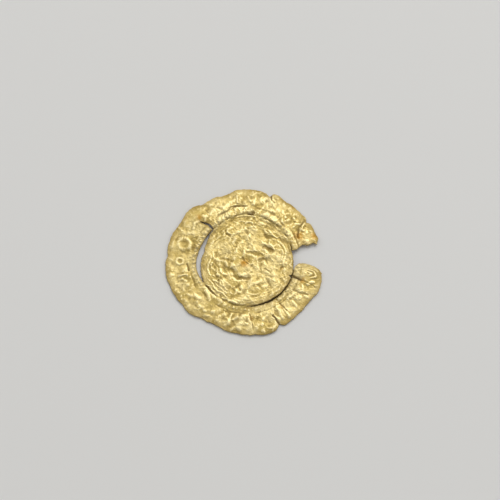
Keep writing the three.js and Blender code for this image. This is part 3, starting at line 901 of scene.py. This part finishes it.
band_parts = add_band(plan, field_groups[0][0])
x, y, in_band, to_edge = np.concatenate(plan.rows, axis=1)
triangles, under_triangles = (sewn(field_groups, middle, band_parts, step) for step in (1, 2))
print("lattice:", len(x), "places,", len(triangles), "triangles above and", len(under_triangles), "below")

# %% [markdown]
# ## Two faces and a wall
#
# The struck face and the underside use the same lattice, one above the other, and the plainer underside takes
# every second spoke and row. Every edge that has a triangle on one side only is a free edge of the gold: the
# rim, the slot, the cracks and the bite. A wall of three triangles closes each pair of steps, and near it the
# struck face rolls down so that the edge looks worn and not cut. Along the crack the band's torn foot reaches
# in as a lip, under the lifted field, which is why a real tear looks dark and doesn't show what is below.


# %% Heights
def worn_edge(distance, reach, drop):
    """How far a face rolls down near a free edge: nearly a quarter circle over the reach, with 0.86 of the
    drop at the edge itself."""
    share = 1 - np.clip(distance / reach, 0, 1)
    return drop * (1 - np.sqrt(1 - 0.98 * share * share))


crumple = 0.09 * rough(x / 2.6, y / 2.6, 51, 0.5)
bottom = np.maximum(0, sheet_height(x, y, in_band) + crumple)
thinning = (GOLD_THICKNESS - RIM_THICKNESS) * smooth(0.6, 0, to_edge)
top = bottom + GOLD_THICKNESS - thinning + top_relief(x, y) - worn_edge(to_edge, 0.07, 0.05)
top = np.maximum(top, bottom + 0.08)
print("height of the struck face, mm:", round(top.min(), 3), "to", round(top.max(), 3))

# %% Underside
# It is drawn 0.05 mm up into the sheet, so that its marks can stand down, and more near a free edge.
marks_down = np.clip(0.05 - under_relief(x, y), 0, 0.1)
bottom = bottom + marks_down * smooth(0, 0.5, to_edge) + 0.1 * smooth(0.35, 0, to_edge)
bottom = np.minimum(bottom, top - 0.07)
print("thickness, mm:", round((top - bottom).min(), 3), "to", round((top - bottom).max(), 3))

# %% Where dirt and painted shade lie in lines
# About 1 in the deepest folds and bead lines, where it is partly dirt and partly painted shade, and beside
# the open seam and tear, where it is painted shade that darkens the gaps, and 0 away from them.
turned, out = to_polar(x, y)
cut_depth = -(band_damage(turned, out) * (out > band_inner(turned)) + bead_lines(turned, out))
near_seam = np.abs(out - band_inner(turned)) < 0.75
near_tear = (np.abs(turn_from(TEAR_ANGLE + 2, turned)) < 6) & (out < band_inner(turned) + 2.1)
# Painted shade on the edges of the slot, the crack and the tear, so that the gaps read dark.
seam_painted_shade = np.where(near_seam | near_tear, np.clip(1 - to_edge / 0.1, 0, 1), 0)
fold_soil_and_shade = np.maximum(cut_depth / 0.11, seam_painted_shade)
print("share of places with some dirt and shade:", round(float((fold_soil_and_shade > 0.25).mean()), 2))


# %% Hollows and crests
def smoothed(values, faces, rounds):
    """Each value becomes the mean of its neighbours' values along the triangles' edges, over and over."""
    start = faces.ravel()
    end = faces[:, [1, 2, 0]].ravel()
    near = np.bincount(start, minlength=len(values)) + np.bincount(end, minlength=len(values))
    for _ in range(rounds):
        total = np.bincount(start, values[end], len(values)) + np.bincount(end, values[start], len(values))
        values = np.where(near > 0, total / np.maximum(near, 1), values)
    return values


def crests(height, faces):
    """How far each place stands above the mean height about it, in mm: above 0 on crests, below 0 in hollows.
    Fine and middle sizes are added, so that a thin scratch and a wide dent both count."""
    middle = height - smoothed(height, faces, 24)
    fine = height - smoothed(height, faces, 5)
    return middle + 1.5 * fine


top_crests = crests(top, triangles)
under_crests = crests(bottom, under_triangles)
print("crests on the struck face, mm:", [round(v, 3) for v in np.percentile(top_crests, [1, 25, 50, 75, 99])])


# %% Closing the mesh
def free_edges(faces):
    """The edges that only one triangle uses, in that triangle's direction."""
    edges = np.concatenate([faces[:, [0, 1]], faces[:, [1, 2]], faces[:, [2, 0]]])
    size = edges.max() + 1
    codes, reverse = edges[:, 0] * size + edges[:, 1], edges[:, 1] * size + edges[:, 0]
    return edges[~np.isin(codes, reverse)]


def wall_between(fine, coarse, places):
    """Triangles from each two steps of the struck face's free edges, a to b to c, to the one step of the
    underside's below them. The underside's vertex numbers are `places` higher."""
    start, end = free_edges(fine).T
    following = np.full(places, -1)
    following[start] = end
    a, c = free_edges(coarse).T
    b = following[a]
    if np.any(following[b] != c):
        raise ValueError("the free edges of the two faces don't match")
    under_a, under_c = a + places, c + places
    rows = ((b, a, under_a), (b, under_a, under_c), (c, b, under_c))
    return np.concatenate([np.stack(row, 1) for row in rows])


wall = wall_between(triangles, under_triangles, len(x))
faces = np.concatenate([triangles, under_triangles[:, ::-1] + len(x), wall])
print("triangles in the wall:", len(wall))

# %% The lip under the field
at_band_crack = (in_band == 1) & (np.abs(out - band_inner(turned)) < 0.01) & ~is_joined(turned)
at_band_crack &= (turned > LOW_JOIN[1]) | (turned < TOP_JOIN[0])
step_up = sheet_height(x, y, 0 * in_band) - sheet_height(x, y, 0 * in_band + 1)
lip = np.where(at_band_crack, np.clip(step_up - LIP_ROOM, 0, LIP_WIDTH), 0)
lip_x, lip_y = polar(turned, lip)
print("the lip under the field is up to", round(lip.max(), 3), "mm wide")

# %% Points, and what each tells the material
flat_x = np.concatenate([x, x - lip_x]) + STRIKE_MIDDLE[0]
flat_y = np.concatenate([y, y - lip_y]) + STRIKE_MIDDLE[1]
points = np.stack([flat_x, flat_y, np.concatenate([top, bottom])], 1) / 1000
at_edge = to_edge < 0.001
# At the free edges the underside's relief is set low and its fold value to 0.4, so the walls darken towards
# their feet: painted shade along the rim and the gaps.
crest_all = np.concatenate([np.where(at_edge, 0, top_crests), np.where(at_edge, -0.2, -under_crests)])
fold_soil_and_shade_all = np.concatenate([fold_soil_and_shade, np.maximum(seam_painted_shade, np.where(at_edge, 0.4, 0.0))])
edge_all = np.tile(to_edge, 2)

used, faces = np.unique(faces, return_inverse=True)
faces = faces.reshape(-1, 3)
points, crest_all, fold_soil_and_shade_all, edge_all = points[used], crest_all[used], fold_soil_and_shade_all[used], edge_all[used]
print("mesh:", len(points), "vertices,", len(faces), "triangles")


# %% Put the arrays into Blender
def mesh_object(name, vertices, triangles):
    """A mesh object at the origin from an array of points and an array of triangles, smooth shaded."""
    mesh = bpy.data.meshes.new(name)
    mesh.vertices.add(len(vertices))
    mesh.vertices.foreach_set("co", vertices.astype(np.float32).ravel())
    mesh.loops.add(triangles.size)
    mesh.loops.foreach_set("vertex_index", triangles.astype(np.int32).ravel())
    mesh.polygons.add(len(triangles))
    mesh.polygons.foreach_set("loop_start", np.arange(0, triangles.size, 3, dtype=np.int32))
    mesh.polygons.foreach_set("use_smooth", np.ones(len(triangles), dtype=bool))
    mesh.update(calc_edges=True)
    mesh.validate()
    made = bpy.data.objects.new(name, mesh)
    bpy.context.scene.collection.objects.link(made)
    return made


def add_values(made, name, values):
    """Stores one number per vertex on the mesh, for its material to read."""
    made.data.attributes.new(name, "FLOAT", "POINT").data.foreach_set("value", values.astype(np.float32))


coin = mesh_object("struck_coin", points, faces)
add_values(coin, "relief", np.clip(0.5 + crest_all / 0.12, 0, 1))
add_values(coin, "fold", np.clip(fold_soil_and_shade_all, 0, 1))
# Near every free edge this value darkens the colour: painted shade along the rim and the gaps.
add_values(coin, "edge", np.clip(1 - edge_all / 0.9, 0, 1))
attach(coin, "root")
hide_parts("coin")
print("struck coin, mm:", [round(1000 * size, 2) for size in coin.dimensions])

# %% [markdown]
# ## Gold
#
# High-carat gold doesn't tarnish, so its colour is even and warm, and nearly all that the eye reads is shape
# and polish. Several things vary. High places are worn smoother, and they are coloured lighter, partly from
# wear and partly as a painted highlight; a few spots are painted lighter as highlights. Hollows hold a little
# brown, partly soil and partly painted shade, which is dull and not metal; folds and bead lines are darker,
# partly dirt and partly painted shade; the rim and the edges of the gaps are darkened as painted shade; and a
# few spots are painted olive as shade. A few places are stained orange. And the whole surface has a fine
# bloom from centuries in the ground. Each of these is a node group, so that another worn metal thing could
# use it with its own values.


# %% Node helpers
NODES_IN_ROW, NODE_ROOM = 10, (240, 400)  # how the nodes stand in the editor


def node(tree, kind, inputs=None, **settings):
    """Adds a node, sets its properties, and gives each input its value or joins it to a socket. The nodes of
    a tree stand in rows, in the order they are made."""
    row, column = divmod(len(tree.nodes), NODES_IN_ROW)
    made = tree.nodes.new(kind)
    made.location = (NODE_ROOM[0] * column, -NODE_ROOM[1] * row)
    for key, value in settings.items():
        setattr(made, key, value)
    for key, value in (inputs or {}).items():
        if isinstance(value, bpy.types.NodeSocket):
            tree.links.new(value, made.inputs[key])
        else:
            made.inputs[key].default_value = value
    return made


def calc(tree, operation, *values, **settings):
    """The result of one sum on sockets and numbers."""
    inputs = dict(enumerate(values))
    return node(tree, "ShaderNodeMath", inputs, operation=operation, **settings).outputs[0]


def spread(tree, value, from_ends, to_ends=(0.0, 1.0), **settings):
    """A value spread from one range to another and held at its ends. Each end is a number or a socket."""
    inputs = dict(zip(("Value", "From Min", "From Max", "To Min", "To Max"), (value, *from_ends, *to_ends)))
    return node(tree, "ShaderNodeMapRange", inputs, **settings).outputs["Result"]


def noise(tree, vector, scale, detail, roughness, distortion=0.0):
    """Noise from about 0 to 1."""
    inputs = dict(zip(("Vector", "Scale", "Detail", "Roughness"), (vector, scale, detail, roughness)))
    return node(tree, "ShaderNodeTexNoise", {**inputs, "Distortion": distortion}).outputs["Fac"]


def vector_calc(tree, operation, a, b):
    """The number that comes of two vectors: their distance or their dot product."""
    return node(tree, "ShaderNodeVectorMath", {0: a, 1: b}, operation=operation).outputs["Value"]


print("helpers for nodes:", [helper.__name__ for helper in (node, calc, spread, noise, vector_calc)])


# %% Group: high places, worn smooth and painted lighter as a highlight
def new_group(name, inputs, outputs):
    """An empty node group that takes a Vector and the inputs, name -> default, and gives the outputs.
    Returns the group, its inputs as sockets and the node of its outputs."""
    group = bpy.data.node_groups.new(name, "ShaderNodeTree")
    group.interface.new_socket("Vector", in_out="INPUT", socket_type="NodeSocketVector")
    for label, default in inputs.items():
        kind = "NodeSocketVector" if default is None else "NodeSocketFloat"
        socket = group.interface.new_socket(label, in_out="INPUT", socket_type=kind)
        if default is not None:
            socket.default_value = default
    for label in outputs:
        group.interface.new_socket(label, in_out="OUTPUT", socket_type="NodeSocketFloat")
    given, made = node(group, "NodeGroupInput").outputs, node(group, "NodeGroupOutput")
    return group, given, made


def rubbed_and_highlight_group():
    """A mask of how high the relief is, with its border broken by noise. Its users make high places smoother,
    for wear, and lighter, partly for wear and partly as painted highlight.
    """
    inputs = {"Relief": 0.5, "Scale": 900.0, "Start": 0.5, "Full": 0.8}
    group, given, made = new_group("Rubbed high places", inputs, ["Rubbed"])
    uneven = noise(group, given["Vector"], given["Scale"], 3.0, 0.6)
    broken = calc(group, "MULTIPLY_ADD", uneven, 0.35, given["Relief"])
    centred = calc(group, "SUBTRACT", broken, 0.175)
    ends = (given["Start"], given["Full"])
    rubbed_and_highlight = spread(group, centred, ends, interpolation_type="SMOOTHSTEP")
    group.links.new(rubbed_and_highlight, made.inputs["Rubbed"])
    return group


RUBBED_AND_HIGHLIGHT = rubbed_and_highlight_group()
print(RUBBED_AND_HIGHLIGHT.name + ":", len(RUBBED_AND_HIGHLIGHT.nodes), "nodes")


# %% Group: soil and painted shade in the hollows
def soil_and_shade_group():
    """A mask of how low the relief is, broken by noise so that it sits in specks and patches. Its users
    darken the colour with it: partly soil and partly painted shade in hollows and folds, and painted shade
    towards the rim.
    """
    inputs = {"Relief": 0.5, "Scale": 1500.0, "Full": 0.1, "Start": 0.45, "Cover": 0.6}
    group, given, made = new_group("Soil in hollows", inputs, ["Soil"])
    uneven = noise(group, given["Vector"], given["Scale"], 4.0, 0.65)
    hollow = spread(group, given["Relief"], (given["Start"], given["Full"]))
    patchy = spread(group, uneven, (0.35, 0.65), (0.45, 1.0))
    both = calc(group, "MULTIPLY", hollow, patchy)
    cover = calc(group, "MULTIPLY", both, given["Cover"], use_clamp=True)
    group.links.new(cover, made.inputs["Soil"])
    return group


SOIL_AND_SHADE = soil_and_shade_group()
print(SOIL_AND_SHADE.name + ":", len(SOIL_AND_SHADE.nodes), "nodes")


# %% Group: a soft spot
def soft_spot_group():
    """Stain = 1 at its middle and 0 at its radius, with the distance bent by noise."""
    inputs = {"Middle": None, "Radius": 0.0006, "Scale": 2200.0, "Strength": 0.8}
    group, given, made = new_group("Soft spot", inputs, ["Stain"])
    apart = vector_calc(group, "DISTANCE", given["Vector"], given["Middle"])
    share = calc(group, "DIVIDE", apart, given["Radius"])
    uneven = noise(group, given["Vector"], given["Scale"], 3.0, 0.6)
    bent = calc(group, "MULTIPLY_ADD", uneven, 1.4, share)
    fall = spread(group, bent, (1.7, 0.7), interpolation_type="SMOOTHSTEP")
    strong = calc(group, "MULTIPLY", fall, given["Strength"])
    group.links.new(strong, made.inputs["Stain"])
    return group


SOFT_SPOT = soft_spot_group()
print(SOFT_SPOT.name + ":", len(SOFT_SPOT.nodes), "nodes")


# %% Group: fine grain of worn metal
def grain_group():
    """Height and tone of the finest grain: soft pits with a net of fine creases, and slow patches."""
    group, given, made = new_group("Fine metal grain", {"Scale": 5000.0}, ["Height", "Tone"])
    vector, scale = given["Vector"], given["Scale"]
    fine = noise(group, vector, scale, 4.0, 0.6, 0.4)
    broad_scale = calc(group, "MULTIPLY", scale, 0.16)
    broad = noise(group, vector, broad_scale, 3.0, 0.55)
    facet_scale = calc(group, "MULTIPLY", scale, 0.4)
    inputs = {"Vector": vector, "Scale": facet_scale}
    creased = node(group, "ShaderNodeTexVoronoi", inputs, feature="DISTANCE_TO_EDGE")
    both = calc(group, "MULTIPLY_ADD", creased.outputs["Distance"], 1.4, fine)
    group.links.new(both, made.inputs["Height"])
    group.links.new(broad, made.inputs["Tone"])
    return group


GRAIN = grain_group()
print(GRAIN.name + ":", len(GRAIN.nodes), "nodes")


# %% Colours and places
# Spots: (x, y) from the middle of the design in mm, radius in mm, strength.
STAINS = [
    ((-0.3, -0.35), 0.85, 1), ((6.55, 3.4), 0.95, 0.9), ((8.6, 3.4), 0.65, 1), ((5.95, 7.3), 0.35, 0.8),
    ((-6.1, 5.9), 0.6, 0.7), ((7, -2.6), 0.6, 0.8), ((0.5, -7.6), 0.5, 0.5), ((4.4, -6), 0.5, 0.5),
    ((-9.6, -1.1), 0.3, 0.6), ((-8, 5.9), 0.4, 0.5), ((4.35, -1.1), 0.35, 0.3),
]
PAINTED_HIGHLIGHT_SPOTS = [  # painted highlight: spots made lighter where the light falls brightest
    ((-3.2, -3.7), 1.5, 0.8), ((4.6, 0.2), 1.2, 0.9), ((0.6, 4.2), 1.2, 0.5), ((-0.4, -8), 1.4, 0.6),
    ((5.5, -4.3), 1, 0.5), ((3.6, 5.8), 1, 0.4), ((-8.3, -3.4), 1.3, 0.5), ((-5.6, -5.3), 1.1, 0.5),
]
PAINTED_SHADE_SPOTS = [  # painted shade: dull olive spots in dents, below the beads at the top and on the rim
    ((-6.1, 5.3), 1.7, 0.6), ((-3.1, 0.1), 0.9, 0.5), ((-0.9, -2.1), 0.8, 0.6), ((2.7, 1.7), 0.7, 0.7),
    ((2.8, 3.2), 0.8, 0.5), ((-7.2, -6.4), 1.2, 0.5), ((0.8, 9), 1.4, 0.4), ((-0.2, 6.6), 1, 0.5),
    ((1.3, -0.3), 0.7, 0.4), ((7.2, 1.2), 0.8, 0.4),
]
GOLD = (0.76, 0.58, 0.20, 1)
SHADED_GOLD = tuple(0.76 * c for c in GOLD[:3]) + (1,)
PALE_GOLD = (0.82, 0.67, 0.30, 1)
# Lighter gold: on high places partly wear and partly painted highlight, on the highlight spots painted
# highlight.
RUBBED_AND_HIGHLIGHT_GOLD = (0.92, 0.77, 0.39, 1)
# Olive gold: a random dull tone, and painted shade on the shade spots.
OLIVE_AND_SHADE_GOLD = (0.50, 0.38, 0.12, 1)
# Brown of soil and of painted shade in the hollows, and of painted shade towards the rim.
SOIL_AND_SHADE_BROWN = (0.30, 0.19, 0.045, 1)
# Dark brown of dirt and painted shade in the folds and bead lines, and of painted shade beside the gaps.
FOLD_SOIL_AND_SHADE_BROWN = (0.13, 0.065, 0.015, 1)
STAIN_ORANGE = (0.56, 0.29, 0.035, 1)
SPOT_HEIGHT = 0.0005  # metres above the table, about where the struck face lies
print("spots:", len(STAINS), "stained,", len(PAINTED_HIGHLIGHT_SPOTS), "pale and", len(PAINTED_SHADE_SPOTS), "olive")


# %% Stains and painted spots together
def use(tree, group, vector, **values):
    """The outputs of a node of one of the groups, fed with its inputs."""
    return node(tree, "ShaderNodeGroup", {"Vector": vector, **values}, node_tree=group).outputs


def strongest(tree, vector, spots):
    """The highest value of several soft spots: real stains, painted highlights and painted shade each use it.
    """
    total = None
    for (spot_x, spot_y), radius, strength in spots:
        middle = ((spot_x + STRIKE_MIDDLE[0]) / 1000, (spot_y + STRIKE_MIDDLE[1]) / 1000, SPOT_HEIGHT)
        values = {"Middle": middle, "Radius": radius / 1000, "Strength": strength}
        stain = use(tree, SOFT_SPOT, vector, **values)["Stain"]
        total = stain if total is None else calc(tree, "MAXIMUM", total, stain)
    return total


# Real stains, painted highlight spots and painted shade spots.
SPOTS = {"stained": STAINS, "painted highlight spots": PAINTED_HIGHLIGHT_SPOTS, "painted shade spots": PAINTED_SHADE_SPOTS}
print("kinds of spot:", list(SPOTS))

# %% What varies over the gold
# Brown darkening: name, value on the mesh, scale of its specks, where it starts and is full, how much it
# covers.
# In the hollows it is partly soil and partly painted shade, towards the rim painted shade, and in the folds
# partly dirt and partly painted shade, with painted shade beside the gaps.
SOIL_AND_SHADE_KINDS = [
    ("low soil and shade", "relief", 1900.0, 0.42, 0.0, 0.6), ("rim painted shade", "edge", 900.0, 0.1, 1.0, 0.5),
    ("fold soil and shade", "fold", 1100.0, 0.25, 1.0, 0.8),
]


def gold_masks(tree):
    """Sockets by name: the grain's height, and what goes from 0 to 1 over the surface."""
    place = node(tree, "ShaderNodeTexCoord").outputs["Object"]
    stored = {
        name: node(tree, "ShaderNodeAttribute", attribute_name=name).outputs["Fac"]
        for name in ("relief", "edge", "fold")
    }
    grain = use(tree, GRAIN, place, Scale=7500.0)
    masks = {"height": grain["Height"], "tone": grain["Tone"]}
    rubbed_and_highlight = {"Relief": stored["relief"], "Scale": 1300.0, "Start": 0.5, "Full": 0.95}
    masks["rubbed_and_highlight"] = use(tree, RUBBED_AND_HIGHLIGHT, place, **rubbed_and_highlight)["Rubbed"]
    for name, value, scale, start, full, cover in SOIL_AND_SHADE_KINDS:
        soil = {"Relief": stored[value], "Scale": scale, "Start": start, "Full": full, "Cover": cover}
        masks[name] = use(tree, SOIL_AND_SHADE, place, **soil)["Soil"]
    # Partly soil and partly painted shade in the hollows, and painted shade towards the rim.
    masks["hollow"] = calc(tree, "MAXIMUM", masks["low soil and shade"], masks["rim painted shade"])
    patches = noise(tree, place, 400.0, 4.0, 0.6)
    masks["pale"] = spread(tree, patches, (0.45, 0.62))
    masks["olive"] = spread(tree, patches, (0.5, 0.34), (0.0, 0.7))
    for name, spots in SPOTS.items():
        masks[name] = strongest(tree, place, spots)
    return masks


print("kinds of soil and shade:", [name for name, *_ in SOIL_AND_SHADE_KINDS])


# %% Colour of the gold
# Colours in the order they are laid over shaded gold, each with the mask that brings it in. The olive of the
# shade spots is painted shade; the lighter gold is partly wear and partly painted highlight on high places,
# and painted highlight on the highlight spots; the browns are partly soil and partly painted shade, and
# towards the rim and beside the gaps painted shade.
LAYERS = [
    (GOLD, "tone"), (PALE_GOLD, "pale"), (OLIVE_AND_SHADE_GOLD, "olive"), (OLIVE_AND_SHADE_GOLD, "painted shade spots"),
    (RUBBED_AND_HIGHLIGHT_GOLD, "painted highlight spots"), (RUBBED_AND_HIGHLIGHT_GOLD, "rubbed_and_highlight"), (STAIN_ORANGE, "stained"),
    (SOIL_AND_SHADE_BROWN, "hollow"), (FOLD_SOIL_AND_SHADE_BROWN, "fold soil and shade"),
]


def gold_colour(tree, masks):
    """The layers of colour, mixed one after another."""
    colour = SHADED_GOLD
    for layer, mask in LAYERS:
        inputs = {"Factor": masks[mask], 6: colour, 7: layer}
        colour = node(tree, "ShaderNodeMix", inputs, data_type="RGBA").outputs[2]
    return colour


print("layers of colour over shaded gold:", len(LAYERS))


# %% The gold material
def gold_finish(tree, masks):
    """How metallic and how rough the gold is: soil, painted shade and stains are less metallic and rougher.
    """
    dirt = calc(tree, "MULTIPLY", masks["stained"], 0.25)
    ground = calc(tree, "MAXIMUM", masks["hollow"], masks["fold soil and shade"])
    dull = calc(tree, "MAXIMUM", dirt, ground)
    bare = spread(tree, dull, (0.0, 1.0), (1.0, 0.5))
    clean = spread(tree, masks["fold soil and shade"], (0.0, 1.0), (1.0, 0.1))
    metal = calc(tree, "MULTIPLY", bare, clean)
    polish = spread(tree, masks["rubbed_and_highlight"], (0.0, 1.0), (0.5, 0.4))
    uneven = calc(tree, "MULTIPLY_ADD", masks["tone"], 0.14, polish)
    return metal, calc(tree, "MULTIPLY_ADD", dull, 0.4, uneven, use_clamp=True)


def gold_material():
    """Gold: colour in layers, dull where there is soil and where there is painted shade, and bump from the
    grain.
    """
    material = bpy.data.materials.new("worn_gold")
    material.use_nodes = True
    tree = material.node_tree
    tree.nodes.clear()
    masks = gold_masks(tree)
    bump = {"Strength": 0.6, "Distance": 0.00003, "Height": masks["height"]}
    normal = node(tree, "ShaderNodeBump", bump).outputs["Normal"]
    metal, roughness = gold_finish(tree, masks)
    colour = gold_colour(tree, masks)
    finish = {"Base Color": colour, "Metallic": metal, "Roughness": roughness, "Normal": normal}
    shader = node(tree, "ShaderNodeBsdfPrincipled", finish)
    node(tree, "ShaderNodeOutputMaterial", {"Surface": shader.outputs["BSDF"]})
    return material


coin.data.materials.append(gold_material())
print("gold:", len(coin.data.materials[0].node_tree.nodes), "nodes")

# %% [markdown]
# ## Floor, light and camera
#
# Metal shows what is round it, so a coin is lit with large soft lights. The brightest is behind and above,
# where a coin seen from steeply above mirrors it. Weaker ones at the sides pick out the relief, and one in
# front lifts the shadows.


# %% Floor
def plain_material(name, colour, roughness):
    """One even finish, for the floor only."""
    material = bpy.data.materials.new(name)
    material.use_nodes = True
    shader = material.node_tree.nodes["Principled BSDF"]
    shader.inputs["Base Color"].default_value = colour
    shader.inputs["Roughness"].default_value = roughness
    return material


HALF = 2.0  # of the floor's side, in metres
corners = np.array([[-HALF, -HALF, 0], [HALF, -HALF, 0], [HALF, HALF, 0], [-HALF, HALF, 0]])
floor = mesh_object("floor", corners, np.array([[0, 1, 2], [0, 2, 3]]))
floor.location.z = -0.00001  # just below the coin's lowest points
floor.data.materials.append(plain_material("pale_floor", (0.78, 0.78, 0.77, 1), 0.75))
print("floor:", 2 * HALF, "m wide")

# %% Lights
LIGHT_DISTANCE = 0.8
# Azimuth and elevation in degrees, side in metres, power in watts.
LIGHTS = {
    "key_behind": (70, 52, 0.6, 2.9), "side_left": (165, 35, 0.35, 0.7), "side_right": (20, 25, 0.3, 0.4),
    "fill_front": (300, 25, 0.6, 0.9),
}


def soft_light(name, azimuth, elevation, size, power):
    """A square area light that faces the coin."""
    data = bpy.data.lights.new(name, "AREA")
    data.shape, data.size, data.energy = "SQUARE", size, power
    light = bpy.data.objects.new(name, data)
    bpy.context.scene.collection.objects.link(light)
    a, e = np.radians(azimuth), np.radians(elevation)
    light.location = LIGHT_DISTANCE * Vector((np.cos(a) * np.cos(e), np.sin(a) * np.cos(e), np.sin(e)))
    light.rotation_euler = light.location.to_track_quat("Z", "Y").to_euler()


for name, values in LIGHTS.items():
    soft_light(name, *values)
print("lights:", list(LIGHTS))


# %% Room
def studio_world():
    """A grey room: brighter overhead and behind the coin, darker low in front, as a gradient of the view
    direction."""
    world = bpy.data.worlds.new("studio")
    world.use_nodes = True
    tree = world.node_tree
    direction = node(tree, "ShaderNodeTexCoord").outputs["Generated"]
    lean = vector_calc(tree, "DOT_PRODUCT", direction, (0.1, 0.75, 0.6))
    level = spread(tree, lean, (-0.2, 1.0), (0.1, 0.6))
    background = tree.nodes["Background"]
    background.inputs["Color"].default_value = (1.0, 0.98, 0.94, 1)
    tree.links.new(level, background.inputs["Strength"])
    return world


bpy.context.scene.world = studio_world()
bpy.context.scene.view_settings.view_transform = "Standard"
print("room:", bpy.context.scene.world.name)

# %% Camera
CAMERA_ELEVATION = np.radians(70)
VIEW_WIDTH = 0.0637  # metres across the picture at the coin
LOOK_AT = Vector((0.0009, 0.00136, 0.0005))
camera_data = bpy.data.cameras.new("camera")
camera_data.lens, camera_data.sensor_width = 100, 36
camera_data.clip_start, camera_data.clip_end = 0.005, 10
camera = bpy.data.objects.new("camera", camera_data)
bpy.context.scene.collection.objects.link(camera)
back = Vector((0, -np.cos(CAMERA_ELEVATION), np.sin(CAMERA_ELEVATION)))
camera.location = LOOK_AT + back * (VIEW_WIDTH * camera_data.lens / camera_data.sensor_width)
camera.rotation_euler = back.to_track_quat("Z", "Y").to_euler()
bpy.context.scene.camera = camera
print("camera:", round(VIEW_WIDTH * camera_data.lens / camera_data.sensor_width, 3), "m from the coin")
